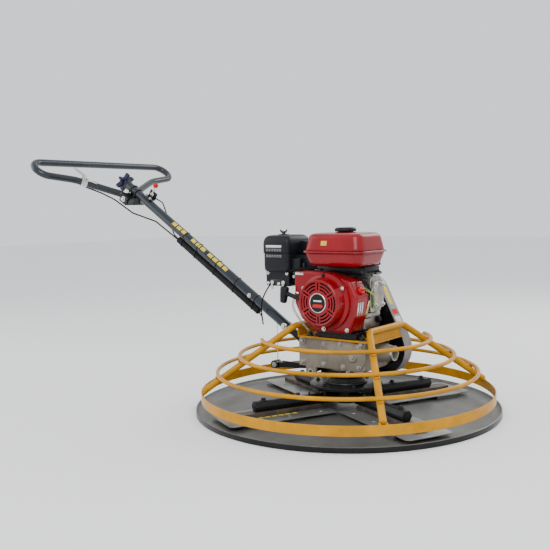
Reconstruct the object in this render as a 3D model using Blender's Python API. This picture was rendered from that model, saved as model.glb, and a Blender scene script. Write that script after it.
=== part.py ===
"""A walk-behind power trowel for finishing concrete: a 36 inch machine with a float pan under its four blades.

Metres, +Z up, +X forward and away from the operator. The origin is where the rotor's axis meets the floor.
The handle runs back along -X, the engine's recoil starter faces -Y and its belt drive is on the +Y side.
"""

import math

import bmesh
import bpy
from mathutils import Matrix, Vector

GAP = 0.0003  # clearance between pieces that touch

# Rotor: pan, blades, arms and hub
PAN_RADIUS = 0.490
PAN_FLAT_RADIUS = 0.466
PAN_RIM_HEIGHT = 0.0165
PAN_SHEET = 0.003
BLADE_COUNT = 4
BLADE_INNER = 0.0845
BLADE_OUTER = 0.446
BLADE_WIDTH = 0.163
BLADE_SHEET = 0.003
BLADE_BOTTOM = PAN_SHEET + 0.0095
BACKING_HEIGHT = 0.0130
FIRST_BLADE_ANGLE = math.radians(-115.5)
ARM_WIDTH = 0.032
ARM_OUTER = 0.333
ARM_HEIGHT = BLADE_BOTTOM + BLADE_SHEET + BACKING_HEIGHT + GAP + ARM_WIDTH / 2
JOURNAL_RADIUS = 0.0125
HUB_SOCKET_LENGTH = 0.088
LEVER_REACH = 0.040
COLLAR_RADIUS = 0.118
COLLAR_BOTTOM = 0.0765
COLLAR_TOP = 0.112
SHAFT_RADIUS = 0.015

# Gearbox under the engine plate
HOUSING_LOW = Vector((-0.062, -0.066, 0.140))
HOUSING_HIGH = Vector((0.118, 0.066, 0.2335))
WORM_X = 0.077
WORM_Z = 0.190
WORM_RADIUS = 0.0215
WHEEL_RADIUS = 0.0545
WHEEL_TEETH = 24
SIDE_PLATE = 0.0085
YOKE_PIVOT = Vector((-0.088, 0.0, 0.1215))
YOKE_END = Vector((-0.288, 0.0, 0.1125))

# Engine plate and guard ring
PLATE_LOW = Vector((-0.1275, -0.0885, 0.2340))
PLATE_HIGH = Vector((0.1575, 0.0885, 0.2400))
GUARD_TUBE = 0.0105
HOOP_ROD = 0.0062
GUARD_TOP = 0.2730
GUARD_FRONT_X = 0.152
GUARD_REAR_X = -0.129
GUARD_HALF_Y = 0.102
GUARD_END_RADIUS = 0.4655
GUARD_END_HEIGHT = 0.0740
HOOP_RADII = {"hoop_lower": 0.418, "hoop_middle": 0.345, "hoop_upper": 0.272}
UPPER_HOOP_ENDS = (math.radians(-141), math.radians(51))
BAND_RADIUS = 0.472
BAND_SHEET = 0.004
BAND_LOW = 0.040
BAND_HIGH = 0.070

# Mast and handle, in the mast's own frame: x along the tube, y to the near side (-Y), z out of its upper side
MAST_FOOT = Vector((-0.172, 0.0, 0.207))
MAST_SLOPE = math.radians(33)
MAST_RADIUS = 0.017
MAST_BORE = 0.014
MAST_START = 0.055
MAST_END = 1.020
LUG_RADIUS = 0.0132
PULLEY_STATION = 0.1431
HANDLE_TUBE = 0.0135
HANDLE_DROP = -0.0325
HANDLE_RISE = 0.08  # the loop slopes up from the mast's own line by this share of its length
HANDLE_BENDS = ((1.000, 0.031), (1.092, 0.200), (1.203, 0.714))  # each side's corners before they are rounded
HANDLE_BEND_RADII = (0.030, 0.150, 0.045)
LEVER_STATION = 0.158  # along the near branch from its first bend
KNOB_RADIUS = 0.040
CABLE_X = -0.2815

# Engine: a single-cylinder horizontal-shaft petrol engine of 163 cc
CRANK_X = 0.010
CRANK_Z = 0.361
CASE_LOW = Vector((-0.068, -0.058, 0.2620))
CASE_HIGH = Vector((0.088, 0.075, 0.4050))
SHROUD_FRONT = -0.128
SHROUD_BACK = -0.060
SHROUD_CORNERS = (
    (-0.122, 0.0915),
    (-0.014, 0.0925),
    (0.088, 0.0660),
    (0.1135, 0.0160),
    (0.106, -0.0420),
    (0.084, -0.0950),
    (-0.042, -0.0975),
    (-0.098, -0.0580),
    (-0.122, -0.0100),
)  # from the crankshaft's axis, clockwise from the top at the carburettor's end
TANK_LOW = Vector((-0.078, -0.130, 0.4680))
TANK_HIGH = Vector((0.138, 0.040, 0.5760))
TANK_FLANGE = 0.515
TANK_SHEET = 0.0015
CAP_CENTRE = (0.034, -0.045)
CLEANER_LOW = Vector((-0.270, -0.092, 0.446))
CLEANER_HIGH = Vector((-0.158, 0.040, 0.5650))
CONTROL_PANEL_Y = -0.075

# Belt drive
GUARD_PLATE_Y = 0.090
COVER_Y = 0.0928
COVER_DEPTH = 0.050
UPPER_COVER_RADIUS = 0.072
LOWER_COVER_RADIUS = 0.088
DRIVE_RADIUS = 0.048
DRIVEN_RADIUS = 0.072
PULLEY_BACK = 0.100
PULLEY_WIDTH = 0.022

COLOURS = {
    "red_paint": ((0.40, 0.015, 0.018), 0.25, 0.0),
    "guard_yellow": ((0.62, 0.27, 0.015), 0.35, 0.0),
    "pan_steel": ((0.22, 0.235, 0.225), 0.45, 0.9),
    "blade_steel": ((0.42, 0.42, 0.40), 0.40, 0.9),
    "black_paint": ((0.012, 0.012, 0.014), 0.35, 0.0),
    "slate_paint": ((0.035, 0.048, 0.060), 0.22, 0.0),
    "cast_grey": ((0.23, 0.20, 0.165), 0.60, 0.3),
    "guard_grey": ((0.24, 0.25, 0.24), 0.50, 0.0),
    "aluminium": ((0.55, 0.54, 0.50), 0.45, 1.0),
    "bright_steel": ((0.60, 0.60, 0.60), 0.25, 1.0),
    "black_plastic": ((0.018, 0.019, 0.023), 0.45, 0.0),
    "navy_plastic": ((0.016, 0.016, 0.050), 0.35, 0.0),
    "rubber": ((0.010, 0.010, 0.010), 0.80, 0.0),
}


# ---------------------------------------------------------------- helpers


def clear_scene():
    for obj in list(bpy.data.objects):
        bpy.data.objects.remove(obj)


def make_materials():
    for name, (colour, roughness, metallic) in COLOURS.items():
        made = bpy.data.materials.new(name)
        made.use_nodes = True
        shader = made.node_tree.nodes["Principled BSDF"]
        shader.inputs["Base Color"].default_value = (*colour, 1.0)
        shader.inputs["Roughness"].default_value = roughness
        shader.inputs["Metallic"].default_value = metallic
        made.diffuse_color = (*colour, 1.0)


def mesh_of(bm, name="shape"):
    bmesh.ops.recalc_face_normals(bm, faces=bm.faces)
    mesh = bpy.data.meshes.new(name)
    bm.to_mesh(mesh)
    bm.free()
    return mesh


def add(name, mesh, look, place=None, smooth=True):
    """A visible piece: one node of the part."""
    obj = bpy.data.objects.new(name, mesh)
    bpy.context.scene.collection.objects.link(obj)
    obj.matrix_world = place or Matrix.Identity(4)
    if not mesh.materials:
        mesh.materials.append(bpy.data.materials[look])
    if smooth:
        mesh.shade_smooth()
        mesh.set_sharp_from_angle(angle=math.radians(35))
    return obj


def helper(mesh, place=None):
    """A hidden solid that a Boolean joins to a piece or cuts from it."""
    obj = bpy.data.objects.new("helper", mesh)
    bpy.context.scene.collection.objects.link(obj)
    obj.matrix_world = place or Matrix.Identity(4)
    obj.hide_render = True
    obj.display_type = "WIRE"
    return obj


def boolean(piece, operation, mesh, place=None):
    modifier = piece.modifiers.new(operation.lower(), "BOOLEAN")
    modifier.operation = operation
    modifier.solver = "EXACT"
    modifier.object = helper(mesh, place)


def cut(piece, mesh, place=None):
    boolean(piece, "DIFFERENCE", mesh, place)


def fuse(piece, mesh, place=None):
    boolean(piece, "UNION", mesh, place)


def round_edges(piece, width, segments=1):
    modifier = piece.modifiers.new("edges", "BEVEL")
    modifier.width = width
    modifier.segments = segments
    modifier.limit_method = "ANGLE"
    modifier.angle_limit = math.radians(50)


def pivot(name, place, parent=None):
    """An empty on a joint's axis. Pieces are attached to it, so they turn about it."""
    empty = bpy.data.objects.new(name, None)
    bpy.context.scene.collection.objects.link(empty)
    empty.empty_display_size = 0.03
    empty.parent = parent
    empty.matrix_local = place
    return empty


def attach(piece, empty):
    """Parents a piece that was placed in the world to a pivot, and keeps it where it is."""
    world = piece.matrix_world.copy()
    bpy.context.view_layer.update()
    piece.parent = empty
    piece.matrix_local = empty.matrix_world.inverted() @ world


def at(x, y, z):
    return Matrix.Translation((x, y, z))


def along_y(x, y, z):
    """Turns a shape's own Z axis to run along +Y through this point."""
    return at(x, y, z) @ Matrix.Rotation(math.radians(-90), 4, "X")


def along_x(x, y, z):
    """Turns a shape's own Z axis to run along +X through this point."""
    return at(x, y, z) @ Matrix.Rotation(math.radians(90), 4, "Y")


def box(low, high):
    bm = bmesh.new()
    bmesh.ops.create_cube(bm, size=1.0)
    size = Vector(high) - Vector(low)
    middle = (Vector(high) + Vector(low)) / 2
    bmesh.ops.scale(bm, vec=size, verts=bm.verts)
    bmesh.ops.translate(bm, vec=middle, verts=bm.verts)
    return mesh_of(bm)


def turned(profile, segments=32):
    """A solid of revolution about Z from a closed outline of (radius, height) points."""
    bm = bmesh.new()
    rings = []
    for radius, height in profile:
        if radius == 0:
            rings.append([bm.verts.new((0, 0, height))] * segments)
            continue
        ring = []
        for step in range(segments):
            angle = 2 * math.pi * step / segments
            ring.append(bm.verts.new((radius * math.cos(angle), radius * math.sin(angle), height)))
        rings.append(ring)
    for index, ring in enumerate(rings):
        other = rings[(index + 1) % len(rings)]
        for step in range(segments):
            after = (step + 1) % segments
            corners = [ring[step], ring[after], other[after], other[step]]
            corners = list(dict.fromkeys(corners))
            if len(corners) > 2:
                bm.faces.new(corners)
    return mesh_of(bm)


def cylinder(radius, low, high, segments=24):
    return turned([(0, low), (radius, low), (radius, high), (0, high)], segments)


def ring_solid(inner, outer, low, high, segments=32):
    return turned([(inner, low), (outer, low), (outer, high), (inner, high)], segments)


def prism(outline, low, high):
    """A flat outline of (x, y) points, extruded along Z."""
    bm = bmesh.new()
    floor = bm.faces.new([bm.verts.new((x, y, low)) for x, y in outline])
    grown = bmesh.ops.extrude_face_region(bm, geom=[floor])
    moved = [item for item in grown["geom"] if isinstance(item, bmesh.types.BMVert)]
    bmesh.ops.translate(bm, vec=(0, 0, high - low), verts=moved)
    return mesh_of(bm)


def loft(sections, open_top=False):
    """Joins sections, each a list of as many points, into one skin with a flat bottom."""
    bm = bmesh.new()
    loops = [[bm.verts.new(point) for point in section] for section in sections]
    count = len(loops[0])
    for lower, upper in zip(loops, loops[1:]):
        for step in range(count):
            after = (step + 1) % count
            bm.faces.new([lower[step], lower[after], upper[after], upper[step]])
    bm.faces.new(loops[0])
    if not open_top:
        bm.faces.new(loops[-1])
    return mesh_of(bm)


def rounded_rectangle(low, high, radius, height, steps=4):
    """Points of a rectangle with round corners, as a section at this height."""
    centres = [
        (high[0] - radius, high[1] - radius),
        (low[0] + radius, high[1] - radius),
        (low[0] + radius, low[1] + radius),
        (high[0] - radius, low[1] + radius),
    ]
    points = []
    for quarter, (x, y) in enumerate(centres):
        for step in range(steps + 1):
            angle = math.pi / 2 * (quarter + step / steps)
            points.append((x + radius * math.cos(angle), y + radius * math.sin(angle), height))
    return points


def circle_section(centre, radius, height, count):
    """A round section whose points line up with those of a rounded rectangle of as many points."""
    points = []
    for quarter in range(4):
        for step in range(count // 4):
            angle = math.pi / 2 * (quarter + (step + 0.5) / (count // 4))
            points.append((centre[0] + radius * math.cos(angle), centre[1] + radius * math.sin(angle), height))
    return points


def rounded_path(corners, radii, steps=5, closed=False):
    """A path through these corners, with each rounded to its radius, or all to one radius."""
    corners = [Vector(corner) for corner in corners]
    if isinstance(radii, float):
        radii = [radii] * len(corners)
    path = []
    for index, corner in enumerate(corners):
        if not closed and index in (0, len(corners) - 1):
            path.append(corner)
            continue
        before = (corners[index - 1] - corner).normalized()
        after = (corners[(index + 1) % len(corners)] - corner).normalized()
        half = before.angle(after) / 2
        start = corner + before * radii[index] / math.tan(half)
        centre = corner + (before + after).normalized() * radii[index] / math.sin(half)
        end = corner + after * radii[index] / math.tan(half)
        for step in range(steps + 1):
            spoke = (start - centre).slerp(end - centre, step / steps)
            path.append(centre + spoke.normalized() * radii[index])
    return path


def tube(name, path, radius, look, cyclic=False, roundness=3, place=None):
    """A round bar or cable along a path: a bevelled curve with closed ends."""
    curve = bpy.data.curves.new(name, "CURVE")
    curve.dimensions = "3D"
    curve.bevel_depth = radius
    curve.bevel_resolution = roundness
    curve.use_fill_caps = True
    spline = curve.splines.new("POLY")
    spline.points.add(len(path) - 1)
    for point, place_on_path in zip(spline.points, path):
        point.co = (*place_on_path, 1.0)
    spline.use_cyclic_u = cyclic
    curve.materials.append(bpy.data.materials[look])
    obj = bpy.data.objects.new(name, curve)
    bpy.context.scene.collection.objects.link(obj)
    obj.matrix_world = place or Matrix.Identity(4)
    return obj


def arc_points(radius, height, start, end, steps):
    points = []
    for step in range(steps + 1):
        angle = start + (end - start) * step / steps
        points.append((radius * math.cos(angle), radius * math.sin(angle), height))
    return points


def hexagon(width):
    """A hexagon of this width across its flats, with a flat side up."""
    corner = width / 2 / math.cos(math.pi / 6)
    return [(corner * math.cos(math.pi / 3 * k), corner * math.sin(math.pi / 3 * k)) for k in range(6)]


def belt_path(radius_offset=0.0, steps=14):
    """The outline round both belt pulleys, as (x, z) points, grown by an offset."""
    upper = Vector((CRANK_X, CRANK_Z))
    lower = Vector((WORM_X, WORM_Z))
    return two_circle_outline(
        upper, DRIVE_RADIUS - 0.005 + radius_offset, lower, DRIVEN_RADIUS - 0.005 + radius_offset, steps
    )


def two_circle_outline(first, first_radius, second, second_radius, steps):
    """The outline of a band pulled tight round two circles, as (x, y) points."""
    run = second - first
    axis_angle = math.atan2(run.y, run.x)
    lean = math.acos((first_radius - second_radius) / run.length)
    points = []
    for centre, radius, start, end in (
        (first, first_radius, lean, 2 * math.pi - lean),
        (second, second_radius, -lean, lean),
    ):
        for step in range(steps + 1):
            angle = axis_angle + start + (end - start) * step / steps
            points.append((centre.x + radius * math.cos(angle), centre.y + radius * math.sin(angle)))
    return points


def outline_ring(outer, inner, low, high):
    """A closed band between two outlines of as many points, extruded along Z."""
    bm = bmesh.new()
    loops = []
    for outline, height in ((outer, low), (outer, high), (inner, high), (inner, low)):
        loops.append([bm.verts.new((x, y, height)) for x, y in outline])
    count = len(outer)
    for index, loop in enumerate(loops):
        other = loops[(index + 1) % 4]
        for step in range(count):
            after = (step + 1) % count
            bm.faces.new([loop[step], loop[after], other[after], other[step]])
    return mesh_of(bm)


def upright(outline):
    """Outline points given as (x, z) are drawn as (x, -z), so that along_y stands them up."""
    return [(x, -z) for x, z in outline]


MAST = Matrix(
    (
        (-math.cos(MAST_SLOPE), 0, math.sin(MAST_SLOPE), MAST_FOOT.x),
        (0, -1, 0, MAST_FOOT.y),
        (math.sin(MAST_SLOPE), 0, math.cos(MAST_SLOPE), MAST_FOOT.z),
        (0, 0, 0, 1),
    )
)


def on_mast(station, y=0.0, out=0.0):
    """A point in the world from its place along, across and above the mast."""
    return MAST @ Vector((station, y, out))


def turned_on_mast(station):
    """Places a turned shape with its axis along the mast."""
    return MAST @ at(station, 0, 0) @ Matrix.Rotation(math.radians(90), 4, "Y")


# ---------------------------------------------------------------- rotor


def make_pan():
    """The float pan: a dished disc whose rim turns up, with ribs under each blade and a bar that the blade pushes."""
    profile = [
        (0, 0),
        (PAN_FLAT_RADIUS + 0.011, 0),
        (PAN_FLAT_RADIUS + 0.018, 0.0025),
        (PAN_FLAT_RADIUS + 0.022, 0.0070),
        (PAN_RADIUS, PAN_RIM_HEIGHT - 0.0008),
        (PAN_RADIUS - 0.0025, PAN_RIM_HEIGHT),
        (PAN_FLAT_RADIUS + 0.0165, 0.0085),
        (PAN_FLAT_RADIUS + 0.009, 0.0045),
        (PAN_FLAT_RADIUS, PAN_SHEET),
        (0, PAN_SHEET),
    ]
    pan = add("float_pan", turned(profile, 96), "pan_steel")
    half = BLADE_WIDTH / 2
    for number in range(BLADE_COUNT):
        place = Matrix.Rotation(FIRST_BLADE_ANGLE + 2 * math.pi * number / BLADE_COUNT, 4, "Z")
        for y in (-0.058, 0.058):
            fuse(pan, box((0.200, y - 0.006, 0.001), (0.400, y + 0.006, BLADE_BOTTOM - 0.0006)), place)
        fuse(pan, box((0.300, -half - 0.009, 0.001), (0.392, -half - 0.001, BLADE_BOTTOM + 0.003)), place)
    attach(pan, pivot("pan_lift", at(0, 0, 0)))


def blade_outline():
    half = BLADE_WIDTH / 2
    nick = 0.012
    return [
        (BLADE_INNER, -half),
        (BLADE_OUTER - nick, -half),
        (BLADE_OUTER, -half + nick),
        (BLADE_OUTER, half - nick),
        (BLADE_OUTER - nick, half),
        (BLADE_INNER, half),
    ]


def make_blade(number, arm_pivot):
    """A blade with the flat bar on its back that the arm is bolted to, in the arm's own frame."""
    bottom = BLADE_BOTTOM - ARM_HEIGHT
    top = bottom + BLADE_SHEET
    blade = add(f"blade_{number}", prism(blade_outline(), bottom, top), "blade_steel")
    blade.parent = arm_pivot
    blade.matrix_local = Matrix.Identity(4)
    bpy.context.view_layer.update()
    bar = box((0.092, -0.021, top - 0.001), (0.402, 0.021, top + BACKING_HEIGHT))
    fuse(blade, bar, blade.matrix_world.copy())


def make_arm(number, arm_pivot):
    """A hexagonal trowel arm with a round journal in the hub, a pitch lever and its bolt heads."""
    turn = Matrix.Rotation(math.radians(90), 4, "Z") @ Matrix.Rotation(math.radians(90), 4, "X")
    bar = prism(hexagon(ARM_WIDTH), 0.0925, ARM_OUTER)
    bar.transform(turn)
    arm = add(f"arm_{number}", bar, "black_paint")
    arm.parent = arm_pivot
    arm.matrix_local = Matrix.Identity(4)
    bpy.context.view_layer.update()
    world = arm.matrix_world.copy()
    journal = cylinder(JOURNAL_RADIUS, 0.030, 0.095, 20)
    fuse(arm, journal, world @ along_x(0, 0, 0))
    lever = box((0.0945, 0.004, -0.007), (0.1125, LEVER_REACH + 0.009, 0.009))
    fuse(arm, lever, world)
    contact = COLLAR_BOTTOM - ARM_HEIGHT - 0.0005
    fuse(arm, cylinder(0.0055, 0.004, contact, 12), world @ at(0.1035, LEVER_REACH, 0))
    fuse(arm, cylinder(0.008, 0.015, 0.024, 6), world @ at(0.180, 0, 0))
    fuse(arm, cylinder(0.008, 0.015, 0.024, 6), world @ at(0.300, 0, 0))


def make_blades_and_arms():
    for number in range(1, BLADE_COUNT + 1):
        angle = FIRST_BLADE_ANGLE + 2 * math.pi * (number - 1) / BLADE_COUNT
        place = at(0, 0, ARM_HEIGHT) @ Matrix.Rotation(angle, 4, "Z")
        arm_pivot = pivot(f"arm_{number}_pivot", place)
        make_arm(number, arm_pivot)
        make_blade(number, arm_pivot)


def at_each_arm(mesh):
    """One mesh that holds a copy of this one, which points along its own Z, lying along each arm."""
    bm = bmesh.new()
    for number in range(BLADE_COUNT):
        angle = FIRST_BLADE_ANGLE + 2 * math.pi * number / BLADE_COUNT
        copy = mesh.copy()
        copy.transform(at(0, 0, ARM_HEIGHT) @ Matrix.Rotation(angle, 4, "Z") @ along_x(0, 0, 0))
        bm.from_mesh(copy)
    return mesh_of(bm)


def make_hub(spin):
    """The spider hub on the output shaft, with a socket for each arm."""
    boss = ring_solid(SHAFT_RADIUS + GAP, 0.046, ARM_HEIGHT - 0.021, ARM_HEIGHT + 0.021, 36)
    hub = add("spider_hub", boss, "black_paint")
    fuse(hub, at_each_arm(cylinder(0.0195, 0.0245, HUB_SOCKET_LENGTH, 24)))
    cut(hub, at_each_arm(cylinder(JOURNAL_RADIUS + GAP, 0.0285, HUB_SOCKET_LENGTH + 0.01, 20)))
    attach(hub, spin)


def make_output_shaft(spin):
    shaft = add("output_shaft", cylinder(SHAFT_RADIUS, ARM_HEIGHT - 0.020, 0.2160, 24), "bright_steel")
    attach(shaft, spin)


def gear_outline(tip, root, teeth):
    points = []
    for tooth in range(teeth):
        for share, radius in ((0.0, root), (0.2, tip), (0.5, tip), (0.7, root)):
            angle = 2 * math.pi * (tooth + share) / teeth
            points.append((radius * math.cos(angle), radius * math.sin(angle)))
    return points


def make_worm_wheel(spin):
    outline = gear_outline(WHEEL_RADIUS, WHEEL_RADIUS - 0.005, WHEEL_TEETH)
    wheel = add("worm_wheel", prism(outline, WORM_Z - 0.012, WORM_Z + 0.012), "bright_steel")
    cut(wheel, cylinder(SHAFT_RADIUS + GAP, 0.1, 0.3, 24))
    attach(wheel, spin)


def make_thrust_collar():
    """The pressure plate and bearing that slide on the shaft and push the arms' levers down."""
    bore = SHAFT_RADIUS + 0.0008
    profile = [
        (bore, COLLAR_BOTTOM),
        (COLLAR_RADIUS, COLLAR_BOTTOM),
        (COLLAR_RADIUS, COLLAR_BOTTOM + 0.007),
        (COLLAR_RADIUS - 0.002, COLLAR_BOTTOM + 0.009),
        (0.062, COLLAR_BOTTOM + 0.010),
        (0.058, COLLAR_BOTTOM + 0.028),
        (0.050, COLLAR_BOTTOM + 0.032),
        (0.048, COLLAR_TOP),
        (bore, COLLAR_TOP),
    ]
    collar = add("thrust_collar", turned(profile, 40), "black_paint")
    attach(collar, pivot("collar_slide", at(0, 0, COLLAR_BOTTOM)))


def make_rotor():
    spin = pivot("rotor_spin", at(0, 0, ARM_HEIGHT))
    make_pan()
    make_blades_and_arms()
    make_hub(spin)
    make_output_shaft(spin)
    make_worm_wheel(spin)
    make_thrust_collar()


# ---------------------------------------------------------------- gearbox and pitch yoke


def make_housing():
    """The worm gearbox casting, hollow inside, with a conical socket on its front."""
    housing = add("gearbox_housing", box(HOUSING_LOW, HOUSING_HIGH), "cast_grey")
    round_edges(housing, 0.004)
    fuse(housing, cylinder(0.060, 0.1315, 0.145, 40))
    nose = [(0, -0.010), (0.034, -0.010), (0.034, 0.006), (0.0225, 0.058), (0.0225, 0.064), (0, 0.064)]
    fuse(housing, turned(nose, 28), along_x(HOUSING_HIGH.x, 0, 0.196))
    cut(housing, cylinder(0.0175, 0.020, 0.080, 24), along_x(HOUSING_HIGH.x, 0, 0.196))
    bore, room = SHAFT_RADIUS + GAP, WHEEL_RADIUS + 0.003
    wheel_room = [(0, 0.120), (bore, 0.120), (bore, 0.166), (room, 0.166), (room, 0.212), (bore, 0.212)]
    cut(housing, turned(wheel_room + [(bore, 0.220), (0, 0.220)], 32))
    bore, room = 0.0125, WORM_RADIUS + 0.0035
    worm_room = [(0, -0.080), (bore, -0.080), (bore, -0.050), (room, -0.050), (room, 0.050), (bore, 0.050)]
    cut(housing, turned(worm_room + [(bore, 0.080), (0, 0.080)], 28), along_y(WORM_X, 0, WORM_Z))


def side_plate_outline():
    """The frame plate beside the gearbox, with a leg that carries the yoke's pin."""
    left, right = -0.133, 0.119
    low, top, leg_low = 0.139, PLATE_LOW.z - GAP, 0.108
    return [(left, top), (left, low), (-0.107, low), (-0.107, leg_low), (-0.068, leg_low)] + [
        (-0.068, low),
        (right - 0.012, low),
        (right, low + 0.012),
        (right, top),
    ]


def make_side_plates():
    reach = HOUSING_HIGH.y + GAP
    for name, start in (("side_plate_front", -reach - SIDE_PLATE), ("side_plate_rear", reach)):
        plate = add(name, prism(upright(side_plate_outline()), 0, SIDE_PLATE), "cast_grey", along_y(0, start, 0))
        pin_hole = cylinder(0.0065, -0.01, 0.02, 20)
        cut(plate, pin_hole, along_y(YOKE_PIVOT.x, start, YOKE_PIVOT.z))
        cut(plate, cylinder(0.027, -0.01, 0.02, 28), along_y(WORM_X, start, WORM_Z))


def make_gearbox_cover():
    """The cover over the worm's near end: a plate that is round at the front, with its bolt heads."""
    near = -HOUSING_HIGH.y - GAP - SIDE_PLATE - GAP
    outline = two_circle_outline(Vector((WORM_X, 0.186)), 0.0445, Vector((-0.015, 0.186)), 0.0440, 12)
    cover = add("gearbox_cover", prism(upright(outline), 0, 0.004), "cast_grey", along_y(0, near - 0.004, 0))
    for x, z in ((0.040, 0.160), (0.088, 0.153), (0.088, 0.219), (-0.025, 0.219), (-0.025, 0.153)):
        fuse(cover, cylinder(0.006, -0.005, 0.001, 6), along_y(x, near - 0.004, z))


def make_yoke():
    """The lever that the pitch cable pulls: it rocks on a cross pin and its fork presses the collar down."""
    low, high = YOKE_PIVOT.z - 0.006, YOKE_PIVOT.z + 0.008
    fork = [
        (-0.108, -0.010),
        (-0.080, -0.012),
        (-0.072, -0.040),
        (0.012, -0.040),
        (0.012, -0.027),
        (-0.056, -0.027),
        (-0.056, 0.027),
        (0.012, 0.027),
        (0.012, 0.040),
        (-0.072, 0.040),
        (-0.080, 0.012),
        (-0.108, 0.010),
    ]
    yoke = add("pitch_yoke", prism(fork, low, high), "black_paint")
    arm = [
        (-0.098, low + 0.001),
        (-0.098, high - 0.001),
        (YOKE_END.x, YOKE_END.z + 0.009),
        (YOKE_END.x, YOKE_END.z - 0.009),
    ]
    fuse(yoke, prism(upright(arm), -0.0085, 0.0085), along_y(0, 0, 0))
    fuse(yoke, cylinder(0.006, -0.0745, 0.0745, 20), along_y(YOKE_PIVOT.x, 0, YOKE_PIVOT.z))
    fuse(yoke, cylinder(0.0152, -0.0135, 0.0135, 24), along_y(YOKE_END.x, 0, YOKE_END.z))
    for side in (-0.0335, 0.0335):
        roller = cylinder(0.006, side - 0.005, side + 0.005, 20)
        fuse(yoke, roller, along_y(0, 0, COLLAR_TOP + 0.0065))
    cut(yoke, cylinder(0.0047, -0.05, 0.05, 16), at(CABLE_X, 0, YOKE_END.z))
    attach(yoke, pivot("yoke_pivot", Matrix.Translation(YOKE_PIVOT)))


def make_worm_shaft():
    profile = [(0, -0.060), (0.0120, -0.060), (0.0120, -0.038)]
    ridges = 9
    for ridge in range(ridges):
        start = -0.036 + 0.008 * ridge
        profile += [(0.0170, start), (WORM_RADIUS, start + 0.002)]
        profile += [(WORM_RADIUS, start + 0.0045), (0.0170, start + 0.0065)]
    profile += [(0.0120, 0.038), (0.0120, 0.130), (0, 0.130)]
    shaft = add("worm_shaft", turned(profile, 20), "bright_steel", along_y(WORM_X, 0, WORM_Z))
    return shaft


def pulley_profile(outer, bore):
    """A V-belt pulley from its back face at zero."""
    groove = outer - 0.009
    return [
        (bore, 0),
        (outer, 0),
        (outer, 0.0035),
        (groove, 0.0055),
        (groove, 0.0165),
        (outer, 0.0185),
        (outer, PULLEY_WIDTH),
        (bore, PULLEY_WIDTH),
    ]


def make_worm_drive():
    spin = pivot("worm_spin", along_y(WORM_X, 0, WORM_Z))
    attach(make_worm_shaft(), spin)
    pulley = turned(pulley_profile(DRIVEN_RADIUS, 0.0120 + GAP), 40)
    attach(add("driven_pulley", pulley, "cast_grey", along_y(WORM_X, PULLEY_BACK, WORM_Z)), spin)


# ---------------------------------------------------------------- engine plate and guard


def make_engine_plate():
    """The yellow engine plate, with its ends turned up to meet the guard's two top bars."""
    plate = add("engine_plate", box(PLATE_LOW, PLATE_HIGH), "guard_yellow")
    flange_top = GUARD_TOP - GUARD_TUBE - GAP
    for x in (GUARD_FRONT_X, GUARD_REAR_X):
        flange = box((x - 0.0024, -0.084, PLATE_LOW.z + 0.001), (x + 0.0024, 0.084, flange_top))
        fuse(plate, flange)
    for x in (-0.088, 0.109):
        for y in (-0.072, 0.072):
            slot = two_circle_outline(Vector((x - 0.010, y)), 0.0056, Vector((x + 0.010, y)), 0.0055, 6)
            cut(plate, prism(slot, 0.220, 0.260))


def guard_end(x_side, y_side):
    """Where one leg of a guard tube ends inside the band."""
    reach = GUARD_END_RADIUS / math.sqrt(2)
    return Vector((x_side * reach, y_side * reach, GUARD_END_HEIGHT))


def make_guard_tubes():
    """Two bent tubes: each is a top bar across the machine with a leg down to the band at either end."""
    for name, x, side in (("guard_tube_front", GUARD_FRONT_X, 1), ("guard_tube_rear", GUARD_REAR_X, -1)):
        corners = [guard_end(side, -1), (x, -GUARD_HALF_Y, GUARD_TOP), (x, GUARD_HALF_Y, GUARD_TOP)]
        path = rounded_path(corners + [guard_end(side, 1)], 0.030, 4)
        tube(name, path, GUARD_TUBE, "guard_yellow", roundness=4)


def leg_height(x, side, radius):
    """The height of a guard leg's axis where it is this far from the rotor's axis."""
    top = Vector((x, GUARD_HALF_Y, GUARD_TOP))
    end = guard_end(side, 1)
    low_share, high_share = 0.0, 1.0
    for _ in range(40):
        share = (low_share + high_share) / 2
        point = top.lerp(end, share)
        if math.hypot(point.x, point.y) < radius:
            low_share = share
        else:
            high_share = share
    return top.lerp(end, share).z


def hoop_height(radius):
    """A hoop lies on the outside of the four legs, so it stands a little above their axes."""
    rest = (GUARD_TUBE + HOOP_ROD + GAP) / 0.785
    return rest + max(leg_height(GUARD_FRONT_X, 1, radius), leg_height(GUARD_REAR_X, -1, radius))


def make_hoops():
    for name, radius in HOOP_RADII.items():
        height = hoop_height(radius)
        if name == "hoop_upper":
            path = arc_points(radius, height, *UPPER_HOOP_ENDS, 34)
            tube(name, path, HOOP_ROD, "guard_yellow", roundness=2)
        else:
            path = arc_points(radius, height, 0, 2 * math.pi, 64)[:-1]
            tube(name, path, HOOP_ROD, "guard_yellow", cyclic=True, roundness=2)
    band = ring_solid(BAND_RADIUS - BAND_SHEET, BAND_RADIUS, BAND_LOW, BAND_HIGH, 80)
    add("guard_band", band, "guard_yellow")


# ---------------------------------------------------------------- mast and handle


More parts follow.
